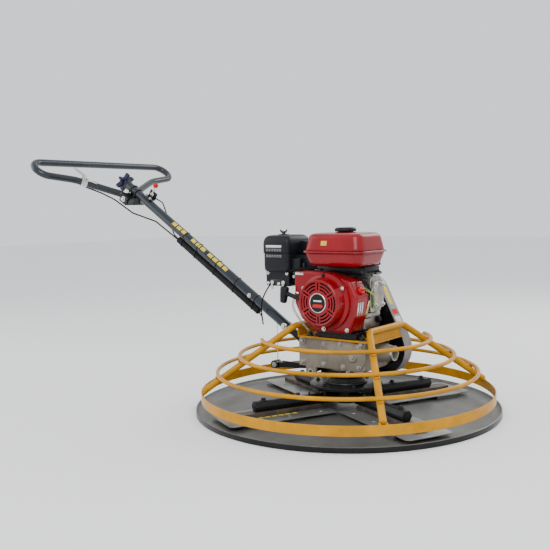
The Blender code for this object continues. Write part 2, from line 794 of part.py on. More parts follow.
def make_mast():
    """The foot bolted to the gearbox, with a round lug that the mast tube slides over."""
    block = box((-0.104, -0.030, 0.1405), (HOUSING_LOW.x - GAP, 0.030, 0.2050))
    foot = add("mast_foot", block, "black_paint")
    fuse(foot, cylinder(LUG_RADIUS, -0.085, 0.105, 24), turned_on_mast(0))
    mast = add("mast_tube", ring_solid(MAST_BORE, MAST_RADIUS, MAST_START, MAST_END, 32), "slate_paint")
    mast.matrix_world = turned_on_mast(0)
    cut(mast, box((CABLE_X - 0.007, -0.006, 0.22), (CABLE_X + 0.007, 0.006, on_mast(PULLEY_STATION - 0.015).z)))
    rim, groove = 0.0115, 0.0085
    half = [(rim, 0.005), (rim, 0.004), (groove, 0.0025)]
    mirrored = [(radius, -height) for radius, height in reversed(half)]
    pulley = turned([(0, 0.005)] + half + mirrored + [(0, -0.005)], 24)
    centre = on_mast(PULLEY_STATION)
    attach(add("cable_pulley", pulley, "bright_steel", along_y(*centre)), pivot("pulley_spin", along_y(*centre)))


def make_handle():
    """The wide loop that the operator holds, and the block that clamps its two ends under the mast."""
    arm_y = HANDLE_BENDS[0][1]
    half = [(0.940, arm_y, HANDLE_DROP)]
    half += [(x, y, HANDLE_DROP + HANDLE_RISE * (x - HANDLE_BENDS[0][0])) for x, y in HANDLE_BENDS]
    other = [(x, -y, z) for x, y, z in reversed(half)]
    radii = [0.0, *HANDLE_BEND_RADII, *reversed(HANDLE_BEND_RADII), 0.0]
    path = rounded_path(half + other, radii, 8)
    tube("handle_loop", path, HANDLE_TUBE, "slate_paint", roundness=4, place=MAST)
    block = box((0.945, -0.050, HANDLE_DROP - 0.0175), (0.985, 0.050, -MAST_RADIUS - GAP))
    clamp = add("handle_clamp", block, "black_paint", MAST)
    for side in (-arm_y, arm_y):
        place = MAST @ along_x(0, side, HANDLE_DROP)
        cut(clamp, cylinder(HANDLE_TUBE + GAP, 0.90, 1.05, 24), place)


def make_star_knob():
    """The six-pointed knob at the mast's top end, with its screw inside the tube."""
    points = []
    steps = 48
    for step in range(steps):
        angle = 2 * math.pi * step / steps
        lobe = 0.5 + 0.5 * math.cos(6 * angle)
        radius = KNOB_RADIUS * (0.70 + 0.30 * lobe)
        points.append((radius * math.cos(angle), radius * math.sin(angle)))
    place = turned_on_mast(MAST_END + 0.004)
    knob = add("star_knob", prism(points, 0.006, 0.026), "navy_plastic", place)
    fuse(knob, cylinder(0.016, 0, 0.010, 24), place)
    fuse(knob, cylinder(0.012, 0.020, 0.032, 24), place)
    fuse(knob, cylinder(0.006, -0.120, 0.005, 16), place)
    attach(knob, pivot("knob_spin", place))


def make_pitch_cable():
    """The vertical run of the pitch cable, from inside the mast down through the yoke's round end."""
    top = on_mast((CABLE_X - MAST_FOOT.x) / -math.cos(MAST_SLOPE)).z - 0.006
    bottom = YOKE_END.z - 0.029
    profile = [
        (0, bottom),
        (0.0080, bottom),
        (0.0080, bottom + 0.009),
        (0.0015, bottom + 0.011),
        (0.0015, top),
        (0, top),
    ]
    cable = add("pitch_cable", turned(profile, 12), "bright_steel", at(CABLE_X, 0, 0))
    attach(cable, pivot("cable_slide", at(CABLE_X, 0, bottom)))


def branch_frame():
    """The near branch of the loop: its own X runs outwards along the tube and its Z points out of the loop's plane."""
    (x1, y1), (x2, y2) = HANDLE_BENDS[:2]
    start = MAST @ Vector((x1, y1, HANDLE_DROP))
    end = MAST @ Vector((x2, y2, HANDLE_DROP + HANDLE_RISE * (x2 - x1)))
    ahead = (end - start).normalized()
    above = (MAST.to_3x3() @ Vector((0, 0, 1))).normalized()
    across = above.cross(ahead).normalized()
    above = ahead.cross(across)
    return Matrix.Translation(start) @ Matrix((ahead, across, above)).transposed().to_4x4()


def make_clutch_lever():
    """The silver hand lever that engages the drive, on a bracket clamped round the loop's near branch."""
    branch = branch_frame()
    ring = ring_solid(HANDLE_TUBE + GAP, HANDLE_TUBE + 0.0033, LEVER_STATION - 0.011, LEVER_STATION + 0.011, 24)
    bracket = add("clutch_lever_bracket", ring, "black_paint", branch @ along_x(0, 0, 0))
    pad_low = (LEVER_STATION - 0.012, -0.012, HANDLE_TUBE + 0.0008)
    pad_high = (LEVER_STATION + 0.012, 0.012, HANDLE_TUBE + 0.0045)
    fuse(bracket, box(pad_low, pad_high), branch)
    place = branch @ at(LEVER_STATION, 0, HANDLE_TUBE + 0.0070) @ Matrix.Rotation(math.radians(-60), 4, "Z")
    outline = [
        (-0.012, -0.008),
        (0.012, -0.011),
        (0.034, -0.006),
        (0.068, 0.002),
        (0.071, 0.012),
        (0.034, 0.011),
        (0.014, 0.010),
        (-0.012, 0.008),
    ]
    lever = add("clutch_lever", prism(outline, 0, 0.005), "bright_steel", place)
    fuse(lever, cylinder(0.0065, -0.002, 0.009, 16), place)
    attach(lever, pivot("clutch_lever_pivot", place))


def make_throttle():
    """The throttle's bracket on top of the mast, and its lever with a round ball."""
    base = box((0.868, -0.016, MAST_RADIUS + GAP), (0.908, 0.016, MAST_RADIUS + 0.006))
    bracket = add("throttle_bracket", base, "black_paint", MAST)
    cheek = box((0.868, -0.016, MAST_RADIUS + 0.002), (0.908, -0.0125, MAST_RADIUS + 0.030))
    fuse(bracket, cheek, MAST)
    pivot_place = MAST @ at(0.888, -0.0105, MAST_RADIUS + 0.016)
    flat = pivot_place @ Matrix.Rotation(math.radians(-90), 4, "X")
    lever = add("throttle_lever", cylinder(0.009, -0.0015, 0.0035, 20), "bright_steel", flat)
    fuse(lever, cylinder(0.0032, 0.002, 0.034, 12), pivot_place @ at(0, 0.0015, 0))
    ball = bmesh.new()
    bmesh.ops.create_icosphere(ball, subdivisions=2, radius=0.0105)
    fuse(lever, mesh_of(ball), pivot_place @ at(0, 0.0015, 0.042))
    attach(lever, pivot("throttle_pivot", pivot_place))


def make_cables():
    """The conduit under the mast and the two control cables that leave it."""
    sleeve = rounded_path([(0.205, 0, -0.031), (0.668, 0, -0.031)], 0.01)
    tube("cable_conduit", sleeve, 0.0125, "black_plastic", roundness=3, place=MAST)
    clutch_route = [
        (0.6725, 0.006, -0.031),
        (0.800, 0.010, -0.034),
        (0.900, 0.040, -0.058),
        (1.000, 0.062, -0.056),
        (1.040, 0.098, -0.052),
        (1.085, 0.150, -0.050),
    ]
    tube("clutch_cable", rounded_path(clutch_route, 0.04, 4), 0.0030, "black_plastic", roundness=2, place=MAST)
    throttle_route = [
        (0.866, -0.012, 0.030),
        (0.835, -0.024, 0.030),
        (0.790, -0.034, -0.010),
        (0.720, -0.026, -0.044),
        (0.674, -0.008, -0.036),
    ]
    tube("throttle_cable", rounded_path(throttle_route, 0.02, 4), 0.0025, "black_plastic", roundness=2, place=MAST)


# ---------------------------------------------------------------- engine


def make_crankcase():
    feet = add("engine_feet", box((-0.055, -0.084, 0.2403), (0.094, 0.078, CASE_LOW.z - GAP)), "black_paint")
    round_edges(feet, 0.002)
    case = add("crankcase", box(CASE_LOW, CASE_HIGH), "aluminium")
    round_edges(case, 0.010, 2)
    cut(case, cylinder(0.0130, -0.10, 0.10, 24), along_y(CRANK_X, 0, CRANK_Z))


def make_cylinder():
    """The finned cylinder and head on the engine's front, with the valve cover at its end."""
    start = CASE_HIGH.x + GAP
    fin, space, count = 0.0022, 0.0042, 5
    deep, shallow = 0.055, 0.038
    upper, lower = [], []
    x = start
    for _ in range(count):
        for at_x, reach in ((x, deep), (x + fin, deep), (x + fin, shallow), (x + fin + space, shallow)):
            upper.append((at_x, reach))
            lower.append((at_x, -reach))
        x += fin + space
    outline = upper + lower[::-1]
    place = along_y(0, -0.030, 0.378)
    cylinder_node = add("cylinder_head", prism(outline, 0, 0.066), "aluminium", place, smooth=False)
    fuse(cylinder_node, box((x - 0.001, -0.026, 0.337), (x + 0.006, 0.032, 0.419)))


def make_crankshaft():
    """The crankshaft with its flywheel and fan at the recoil end."""
    profile = [
        (0, -0.124),
        (0.030, -0.124),
        (0.030, -0.118),
        (0.078, -0.118),
        (0.078, -0.080),
        (0.020, -0.080),
        (0.020, -0.068),
        (0.0120, -0.068),
        (0.0120, 0.079),
        (0.0100, 0.079),
        (0.0100, 0.137),
        (0, 0.137),
    ]
    spin = pivot("crank_spin", along_y(CRANK_X, 0, CRANK_Z))
    attach(add("crankshaft", turned(profile, 40), "bright_steel", along_y(CRANK_X, 0, CRANK_Z)), spin)
    drum = pulley_profile(DRIVE_RADIUS, 0.0100 + GAP)[:-1]
    drum += [(0.044, PULLEY_WIDTH), (0.044, 0.036), (0.0100 + GAP, 0.036)]
    clutch = add("drive_clutch", turned(drum, 36), "cast_grey", along_y(CRANK_X, PULLEY_BACK, CRANK_Z))
    attach(clutch, spin)


def make_belt():
    outer = upright(belt_path(0.0035))
    inner = upright(belt_path(-0.0035))
    add("v_belt", outline_ring(outer, inner, 0, 0.0100), "rubber", along_y(0, PULLEY_BACK + 0.006, 0))


def make_belt_guard():
    """A black back plate and a grey cover, whose rim runs round both pulleys."""
    upper = Vector((CRANK_X, CRANK_Z))
    lower = Vector((WORM_X, WORM_Z))
    outer = two_circle_outline(upper, UPPER_COVER_RADIUS, lower, LOWER_COVER_RADIUS, 16)
    inner = two_circle_outline(upper, UPPER_COVER_RADIUS - 0.002, lower, LOWER_COVER_RADIUS - 0.002, 16)
    back = add("belt_guard_plate", prism(upright(outer), 0, 0.0025), "black_paint", along_y(0, GUARD_PLATE_Y, 0))
    cut(back, cylinder(0.016, -0.01, 0.01, 24), along_y(CRANK_X, GUARD_PLATE_Y, CRANK_Z))
    cut(back, cylinder(0.018, -0.01, 0.01, 24), along_y(WORM_X, GUARD_PLATE_Y, WORM_Z))
    cover = add("belt_guard_cover", prism(upright(outer), 0, COVER_DEPTH), "guard_grey", along_y(0, COVER_Y, 0))
    cut(cover, prism(upright(inner), -0.01, COVER_DEPTH - 0.002), along_y(0, COVER_Y, 0))


def make_shroud():
    """The red fan housing, and the round recoil starter cover on its face."""
    corners = [(CRANK_X + x, CRANK_Z + z, 0) for x, z in SHROUD_CORNERS]
    outline = [(point.x, point.y) for point in rounded_path(corners, 0.014, 3, closed=True)]
    depth = SHROUD_BACK - SHROUD_FRONT
    shroud = add("fan_shroud", prism(upright(outline), 0.003, depth), "red_paint", along_y(0, SHROUD_FRONT, 0))
    round_edges(shroud, 0.003)
    mouth = ring_solid(0.0795, 0.0905, 0, 0.026, 44)
    fuse(shroud, mouth, along_y(CRANK_X, SHROUD_FRONT, CRANK_Z))
    cut(shroud, cylinder(0.084, -0.01, depth - 0.004, 48), along_y(CRANK_X, SHROUD_FRONT, CRANK_Z))
    cut(shroud, cylinder(0.026, 0, depth + 0.01, 24), along_y(CRANK_X, SHROUD_FRONT, CRANK_Z))
    cup = [
        (0.0895, -GAP),
        (0.0895, -0.0060),
        (0.0780, -0.0075),
        (0.0730, -0.0395),
        (0.0700, -0.0430),
        (0, -0.0430),
        (0, -0.0405),
        (0.0688, -0.0405),
        (0.0709, -0.0380),
        (0.0755, -0.0060),
        (0.0755, -GAP),
    ]
    add("recoil_cover", turned(cup, 48), "red_paint", along_y(CRANK_X, SHROUD_FRONT, CRANK_Z))


def make_recoil_grip():
    """The starter's T-shaped pull grip, beside the cover where the rope comes out."""
    centre = Vector((-0.139, -0.1425, 0.377))
    grip = add("recoil_grip", cylinder(0.0135, -0.026, 0.026, 20), "black_plastic", Matrix.Translation(centre))
    round_edges(grip, 0.003, 2)
    fuse(grip, cylinder(0.0065, 0, 0.0690, 16), along_x(*centre))
    attach(grip, pivot("recoil_pull", Matrix.Translation(centre)))


def make_switch():
    (x1, z1), (x2, z2) = SHROUD_CORNERS[2:4]
    facing = Vector((z1 - z2, 0, x2 - x1)).normalized()
    middle = Vector((CRANK_X + x1 + 0.62 * (x2 - x1), -0.092, CRANK_Z + z1 + 0.62 * (z2 - z1)))
    place = Matrix.Translation(middle + facing * GAP) @ facing.to_track_quat("Z", "Y").to_matrix().to_4x4()
    switch = add("engine_switch", cylinder(0.0135, 0, 0.010, 24), "red_paint", place)
    fuse(switch, box((-0.012, -0.003, 0.008), (0.012, 0.003, 0.016)), place)
    attach(switch, pivot("switch_pivot", place))


def make_tank():
    """The fuel tank: two pressed halves that meet at a flange, open at the filler neck."""
    low, high = TANK_LOW, TANK_HIGH
    steps = ((low.z, 0.028), (0.472, 0.015), (0.4815, 0.009), (TANK_FLANGE - 0.003, 0.000))
    steps += ((TANK_FLANGE - 0.003, -0.006), (TANK_FLANGE + 0.001, -0.006), (TANK_FLANGE + 0.001, 0.000))
    steps += ((0.533, 0.004), (0.562, 0.009), (0.5695, 0.015), (0.5725, 0.027), (0.5733, 0.046))
    sections = []
    for height, inset in steps:
        radius = 0.030 if inset < 0.020 else 0.022
        first = (low.x + inset, low.y + inset)
        last = (high.x - inset, high.y - inset)
        sections.append(rounded_rectangle(first, last, radius, height, 4))
    count = len(sections[0])
    sections.append(circle_section(CAP_CENTRE, 0.027, 0.5745, count))
    sections.append(circle_section(CAP_CENTRE, 0.024, TANK_HIGH.z, count))
    tank = add("fuel_tank", loft(sections, open_top=True), "red_paint")
    shell = tank.modifiers.new("sheet", "SOLIDIFY")
    shell.thickness = TANK_SHEET
    shell.offset = -1
    cap = [(0, 0.556), (0.0195, 0.556), (0.0195, TANK_HIGH.z + GAP), (0.0330, TANK_HIGH.z + GAP)]
    cap += [(0.0340, 0.5790), (0.0335, 0.5860), (0.0295, 0.5887), (0, 0.5895)]
    fuel_cap = add("fuel_cap", turned(cap, 32), "black_plastic", at(*CAP_CENTRE, 0))
    attach(fuel_cap, pivot("cap_turn", at(*CAP_CENTRE, TANK_HIGH.z)))


def make_air_cleaner():
    low, high = CLEANER_LOW, CLEANER_HIGH
    sections = []
    for height, inset in ((low.z, 0.004), (0.455, 0.0), (0.548, 0.002), (0.558, 0.006), (high.z, 0.016)):
        first = (low.x + inset, low.y + inset)
        last = (high.x - inset, high.y - inset)
        sections.append(rounded_rectangle(first, last, 0.014, height, 3))
    cleaner = add("air_cleaner", loft(sections), "black_plastic")
    fuse(cleaner, box((high.x - 0.010, -0.020, 0.500), (-0.0875, 0.016, 0.545)))


def make_carburettor():
    """The air cleaner's elbow, the carburettor body and its round float bowl."""
    elbow = box((-0.264, CONTROL_PANEL_Y, 0.396), (-0.170, 0.012, CLEANER_LOW.z - GAP))
    body = add("carburettor", elbow, "black_plastic")
    fuse(body, box((-0.180, -0.052, 0.402), (-0.072, -0.004, 0.440)))
    fuse(body, cylinder(0.0200, 0.3700, 0.4100, 24), at(-0.135, -0.028, 0))
    for name, x, reach in (("choke_lever", -0.236, 0.022), ("fuel_valve", -0.190, 0.020)):
        place = along_y(x, CONTROL_PANEL_Y - 0.0055, 0.408)
        lever = add(name, cylinder(0.0070, 0, 0.0052, 16), "cast_grey", place)
        fuse(lever, box((-0.0035, 0, -0.002), (0.0035, reach, 0.0030)), place)
        attach(lever, pivot(name + "_pivot", place))


def make_muffler():
    """The silencer behind the tank, and the short pipe that joins it to the head."""
    low, high = Vector((-0.060, 0.046, 0.455)), Vector((0.072, 0.120, 0.545))
    sections = []
    for height, inset in ((low.z, 0.010), (low.z + 0.010, 0.0), (high.z - 0.010, 0.0), (high.z, 0.010)):
        first = (low.x + inset, low.y + inset)
        last = (high.x - inset, high.y - inset)
        sections.append(rounded_rectangle(first, last, 0.020, height, 4))
    muffler = add("muffler", loft(sections), "black_paint")
    fuse(muffler, cylinder(0.014, 0.4060, 0.460, 20), at(0.050, 0.066, 0))


def make_engine():
    make_crankcase()
    make_cylinder()
    make_crankshaft()
    make_shroud()
    make_recoil_grip()
    make_switch()
    make_tank()
    make_air_cleaner()
    make_carburettor()
    make_muffler()


def main():
    clear_scene()
    make_materials()
    make_rotor()
    make_housing()
    make_side_plates()
    make_gearbox_cover()
    make_yoke()
    make_worm_drive()
    make_engine_plate()
    make_guard_tubes()
    make_hoops()
    make_mast()
    make_handle()
    make_star_knob()
    make_pitch_cable()
    make_clutch_lever()
    make_throttle()
    make_cables()
    make_engine()
    make_belt()
    make_belt_guard()


main()
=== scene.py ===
"""The power trowel's looks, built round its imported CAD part."""

from math import acos, atan2, cos, hypot, pi, radians, sin, sqrt, tan

import bmesh
import bpy
from mathutils import Matrix, Vector


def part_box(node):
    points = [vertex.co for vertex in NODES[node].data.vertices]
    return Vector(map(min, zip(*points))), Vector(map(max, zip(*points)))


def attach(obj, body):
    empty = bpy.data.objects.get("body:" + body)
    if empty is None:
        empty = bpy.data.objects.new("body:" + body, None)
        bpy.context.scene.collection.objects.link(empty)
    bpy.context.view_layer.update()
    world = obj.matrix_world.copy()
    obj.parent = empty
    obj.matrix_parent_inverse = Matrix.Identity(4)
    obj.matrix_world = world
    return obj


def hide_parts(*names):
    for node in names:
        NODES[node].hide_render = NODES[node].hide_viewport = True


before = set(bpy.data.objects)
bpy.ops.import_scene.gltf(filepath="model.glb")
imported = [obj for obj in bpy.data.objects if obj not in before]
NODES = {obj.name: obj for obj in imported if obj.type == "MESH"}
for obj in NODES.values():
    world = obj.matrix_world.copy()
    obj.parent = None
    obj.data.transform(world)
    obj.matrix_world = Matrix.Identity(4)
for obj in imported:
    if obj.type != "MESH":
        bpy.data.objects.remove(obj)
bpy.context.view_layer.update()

MAST_FOOT = Vector((-0.172, 0.0, 0.207))
MAST_SLOPE = radians(33)
MAST = Matrix(
    (
        (-cos(MAST_SLOPE), 0, sin(MAST_SLOPE), MAST_FOOT.x),
        (0, -1, 0, MAST_FOOT.y),
        (sin(MAST_SLOPE), 0, cos(MAST_SLOPE), MAST_FOOT.z),
        (0, 0, 0, 1),
    )
)


# ---------------------------------------------------------------- materials


NOISE_DETAIL = 6.0
DUST_COLOUR = (0.42, 0.4, 0.36, 1)
BUMP_DEPTH = 0.0006


def add_node(tree, kind, **values):
    """A shader node with these inputs set. Underscores in their names stand for spaces."""
    made = tree.nodes.new("ShaderNode" + kind)
    for name, value in values.items():
        made.inputs[name.replace("_", " ")].default_value = value
    return made


def multiply(tree, first, second):
    made = add_node(tree, "Math")
    made.operation = "MULTIPLY"
    tree.links.new(first, made.inputs[0])
    if isinstance(second, float):
        made.inputs[1].default_value = second
    else:
        tree.links.new(second, made.inputs[1])
    return made.outputs["Value"]


def surface(
    name, colour, roughness, metallic=0.0, vary=0.06, grain=60.0, bump=0.0, coat=0.0, dust=0.0, shine=0.5
):
    """A procedural surface, whose colour and gloss vary. It can be grainy, with dust on its upper sides."""
    made = bpy.data.materials.new(name)
    made.use_nodes = True
    tree = made.node_tree
    link = tree.links.new
    shader = tree.nodes["Principled BSDF"]
    shader.inputs["Metallic"].default_value = metallic
    shader.inputs["Specular IOR Level"].default_value = shine
    shader.inputs["Coat Weight"].default_value = coat
    shader.inputs["Coat Roughness"].default_value = 0.08
    place = add_node(tree, "TexCoord").outputs["Object"]

    def clouds(scale, detail, **values):
        made = add_node(tree, "TexNoise", Scale=scale, Detail=detail, **values)
        link(place, made.inputs["Vector"])
        return made.outputs["Fac"]

    ramp = add_node(tree, "ValToRGB")
    dark = [max(0.0, part * (1 - vary * 2.2)) for part in colour]
    light = [min(1.0, part * (1 + vary * 1.8)) for part in colour]
    for stop, position, shade in zip(ramp.color_ramp.elements, (0.32, 0.68), (dark, light)):
        stop.position = position
        stop.color = (*shade, 1)
    link(clouds(grain, NOISE_DETAIL, Roughness=0.6), ramp.inputs["Fac"])
    shade = ramp.outputs["Color"]
    gloss = add_node(tree, "MapRange", From_Min=0.3, From_Max=0.7)
    gloss.inputs["To Min"].default_value = max(0.02, roughness * 0.8)
    gloss.inputs["To Max"].default_value = min(1.0, roughness * 1.25)
    wide = clouds(grain * 0.23, 4.0)
    link(wide, gloss.inputs["Value"])
    if dust:
        split = add_node(tree, "SeparateXYZ")
        link(add_node(tree, "NewGeometry").outputs["Normal"], split.inputs["Vector"])
        upward = add_node(tree, "MapRange", From_Min=0.2, From_Max=1.0)
        link(split.outputs["Z"], upward.inputs["Value"])
        mix = add_node(tree, "MixRGB", Color2=DUST_COLOUR)
        link(multiply(tree, multiply(tree, upward.outputs["Result"], wide), dust), mix.inputs["Fac"])
        link(shade, mix.inputs["Color1"])
        shade = mix.outputs["Color"]
    if bump:
        bumps = add_node(tree, "Bump", Strength=bump, Distance=BUMP_DEPTH)
        link(clouds(grain * 9, 3.0), bumps.inputs["Height"])
        link(bumps.outputs["Normal"], shader.inputs["Normal"])
    link(shade, shader.inputs["Base Color"])
    link(gloss.outputs["Result"], shader.inputs["Roughness"])
    return made


LOOKS = {
    "red": surface(
        "red enamel", (0.235, 0.0015, 0.006), 0.24, coat=0.18, shine=0.25, dust=0.02, vary=0.08, grain=9
    ),
    "yellow": surface(
        "yellow enamel", (0.5, 0.225, 0.0005), 0.3, coat=0.06, shine=0.15, vary=0.1, grain=14, dust=0.02
    ),
    "pan": surface(
        "pan steel", (0.125, 0.132, 0.125), 0.42, metallic=0.65, vary=0.16, grain=7, bump=0.12, dust=0.25
    ),
    "blade": surface(
        "blade steel", (0.29, 0.29, 0.275), 0.38, metallic=0.7, vary=0.12, grain=12, bump=0.08
    ),
    "black": surface(
        "black enamel", (0.006, 0.006, 0.007), 0.3, coat=0.08, shine=0.2, vary=0.15, grain=18, dust=0.03
    ),
    "slate": surface("slate enamel", (0.014, 0.02, 0.026), 0.2, coat=0.25, shine=0.3, vary=0.1, grain=12),
    "cast": surface(
        "cast iron paint", (0.24, 0.21, 0.165), 0.55, metallic=0.25, vary=0.14, grain=22, bump=0.5
    ),
    "guard": surface("guard grey", (0.25, 0.25, 0.24), 0.45, vary=0.08, grain=14, coat=0.1),
    "alloy": surface(
        "cast aluminium", (0.34, 0.32, 0.28), 0.42, metallic=0.85, vary=0.22, grain=30, bump=0.4
    ),
    "steel": surface("bright steel", (0.62, 0.61, 0.59), 0.24, metallic=1.0, vary=0.08, grain=40),
    "plastic": surface(
        "black plastic", (0.008, 0.009, 0.012), 0.36, shine=0.2, vary=0.12, grain=30, bump=0.12
    ),
    "navy": surface("navy plastic", (0.01, 0.01, 0.04), 0.3, shine=0.3, vary=0.1, grain=20),
    "rubber": surface("rubber", (0.009, 0.009, 0.009), 0.7, shine=0.2, vary=0.15, grain=40, bump=0.2),
    "dark_steel": surface(
        "blackened steel", (0.045, 0.045, 0.048), 0.38, metallic=0.8, vary=0.15, grain=50
    ),
    "cast_steel": surface(
        "dull steel", (0.36, 0.34, 0.3), 0.45, metallic=0.7, vary=0.12, grain=40, bump=0.2
    ),
    "rust": surface(
        "scaled bar", (0.075, 0.06, 0.046), 0.6, metallic=0.35, vary=0.28, grain=26, bump=0.4, dust=0.25
    ),
    "hot_black": surface(
        "heat paint", (0.012, 0.011, 0.01), 0.6, shine=0.25, vary=0.22, grain=22, bump=0.3, dust=0.2
    ),
    "brass": surface("dull brass", (0.42, 0.33, 0.14), 0.35, metallic=0.9, vary=0.12, grain=40),
    "ball_red": surface(
        "red plastic", (0.42, 0.003, 0.006), 0.28, coat=0.1, shine=0.25, vary=0.06, grain=20
    ),
    "mark_yellow": surface("yellow mark", (0.68, 0.53, 0.05), 0.5, shine=0.2, vary=0.1, grain=60),
    "mark_ochre": surface("ochre mark", (0.45, 0.34, 0.08), 0.55, vary=0.1, grain=60),
    "mark_white": surface("white mark", (0.62, 0.62, 0.6), 0.5, vary=0.06, grain=60),
    "mark_grey": surface("grey mark", (0.17, 0.17, 0.17), 0.55, vary=0.12, grain=60),
    "mark_red": surface("red mark", (0.5, 0.012, 0.012), 0.5, shine=0.2, vary=0.08, grain=60),
    "wire_green": surface("green wire", (0.06, 0.3, 0.04), 0.45, vary=0.06, grain=60),
    "wire_yellow": surface("yellow wire", (0.55, 0.45, 0.05), 0.45, vary=0.06, grain=60),
    "wire_tan": surface("clear tube", (0.42, 0.34, 0.22), 0.35, vary=0.08, grain=60),
}

NODE_LOOKS = {
    "pan": ("float_pan",),
    "black": (
        "spider_hub", "thrust_collar", "pitch_yoke", "mast_foot", "handle_clamp", "throttle_bracket",
        "engine_feet", "crankshaft", "belt_guard_plate",
    ),
    "steel": (
        "output_shaft", "worm_wheel", "worm_shaft", "cable_pulley", "pitch_cable", "clutch_lever_bracket",
        "choke_lever", "fuel_valve",
    ),
    "cast": ("gearbox_housing", "side_plate_front", "side_plate_rear", "driven_pulley", "drive_clutch"),
    "yellow": ("engine_plate",),
    "slate": ("mast_tube",),
    "alloy": ("crankcase",),
    "rubber": ("v_belt",),
    "guard": ("belt_guard_cover",),
    "plastic": ("carburettor",),
}


def dress_nodes():
    """Gives the CAD nodes that stay visible their materials."""
    for look, names in NODE_LOOKS.items():
        for name in names:
            materials = NODES[name].data.materials
            materials.clear()
            materials.append(LOOKS[look])


# ---------------------------------------------------------------- mesh helpers


def mm(*points):
    """Points given in millimetres. All other lengths in this file are in metres."""
    return [tuple(value / 1000 for value in point) for point in points]


def at(x, y, z):
    return Matrix.Translation((x, y, z))


def along(point, direction):
    """Places a shape with its own Z axis along a direction."""
    turn = Vector(direction).normalized().to_track_quat("Z", "Y").to_matrix().to_4x4()
    return Matrix.Translation(point) @ turn


def turned(degrees, axis):
    return Matrix.Rotation(radians(degrees), 4, axis)


def along_y(x, y, z):
    return at(x, y, z) @ turned(-90, "X")


def on_circle(radius, angle):
    return (radius * cos(angle), radius * sin(angle))


def upright(outline):
    """Outline points given as (x, z) are drawn as (x, -z), so that along_y stands them up."""
    return [(x, -z) for x, z in outline]


def placed(shape, place):
    bmesh.ops.transform(shape, matrix=place, verts=shape.verts)
    return shape


def join(*shapes):
    """One mesh of several shapes, which it uses up."""
    whole = bmesh.new()
    for shape in shapes:
        part = bpy.data.meshes.new("part")
        shape.to_mesh(part)
        shape.free()
        whole.from_mesh(part)
        bpy.data.meshes.remove(part)
    return whole


def lathe(profile, segments=64, wave=0.0, waves=0, wave_from=1.0):
    """Turns a closed outline of (radius, height) points about Z. It can be fluted from a radius on."""
    shape = bmesh.new()
    rings = []
    for radius, height in profile:
        if radius == 0:
            rings.append([shape.verts.new((0, 0, height))] * segments)
            continue
        ring = []
        for step in range(segments):
            angle = 2 * pi * step / segments
            reach = radius + (wave * cos(waves * angle) if radius >= wave_from else 0.0)
            ring.append(shape.verts.new((*on_circle(reach, angle), height)))
        rings.append(ring)
    for index, ring in enumerate(rings):
        other = rings[(index + 1) % len(rings)]
        for step in range(segments):
            after = (step + 1) % segments
            corners = list(dict.fromkeys([ring[step], ring[after], other[after], other[step]]))
            if len(corners) > 2:
                shape.faces.new(corners)
    return shape


def soften(shape, width, segments=2, angle=40):
    """Rounds every edge that is sharper than this angle."""
    bmesh.ops.recalc_face_normals(shape, faces=shape.faces)
    least = radians(angle)
    sharp = [edge for edge in shape.edges if len(edge.link_faces) == 2 and edge.calc_face_angle(0) > least]
    bmesh.ops.bevel(
        shape, geom=sharp, offset=width, segments=segments, profile=0.5, affect="EDGES", clamp_overlap=True
    )
    return shape


def block(low, high, width=0.0, segments=2):
    shape = bmesh.new()
    bmesh.ops.create_cube(shape, size=1.0)
    low, high = Vector(low), Vector(high)
    bmesh.ops.scale(shape, vec=high - low, verts=shape.verts)
    bmesh.ops.translate(shape, vec=(low + high) / 2, verts=shape.verts)
    return soften(shape, width, segments) if width else shape


def plate(outline, low, high, width=0.0, segments=2):
    """A flat outline of (x, y) points, extruded along Z and rounded along its edges."""
    shape = bmesh.new()
    floor = shape.faces.new([shape.verts.new((x, y, low)) for x, y in outline])
    grown = bmesh.ops.extrude_face_region(shape, geom=[floor])
    moved = [item for item in grown["geom"] if isinstance(item, bmesh.types.BMVert)]
    bmesh.ops.translate(shape, vec=(0, 0, high - low), verts=moved)
    return soften(shape, width, segments, 50) if width else shape


def loft(sections):
    """A skin over closed sections with the same number of points, with a cap at each end."""
    shape = bmesh.new()
    loops = [[shape.verts.new(point) for point in section] for section in sections]
    count = len(loops[0])
    for lower, upper in zip(loops, loops[1:]):
        for step in range(count):
            after = (step + 1) % count
            shape.faces.new([lower[step], lower[after], upper[after], upper[step]])
    shape.faces.new(loops[0])
    shape.faces.new(loops[-1])
    return shape


def rounded_rectangle(low, high, radius, height, steps=8):
    centres = (
        (high[0] - radius, high[1] - radius),
        (low[0] + radius, high[1] - radius),
        (low[0] + radius, low[1] + radius),
        (high[0] - radius, low[1] + radius),
    )
    points = []
    for quarter, (x, y) in enumerate(centres):
        for step in range(steps + 1):
            angle = pi / 2 * (quarter + step / steps)
            points.append((x + radius * cos(angle), y + radius * sin(angle), height))
    return points


def stacked(low, high, steps, corner, arc_steps=8):
    """Rounded rectangles inside a box. Each of the steps is an inset from the box's sides, and a height."""
    return [
        rounded_rectangle(
            (low.x + inset, low.y + inset), (high.x - inset, high.y - inset), corner(inset), height, arc_steps
        )
        for inset, height in steps
    ]


def circle_section(centre, radius, height, count):
    """A circle whose points are spread like those of a rounded rectangle, so that loft can join them."""
    points = []
    for quarter in range(4):
        for step in range(count // 4):
            angle = pi / 2 * (quarter + (step + 0.5) / (count // 4))
            points.append((centre[0] + radius * cos(angle), centre[1] + radius * sin(angle), height))
    return points


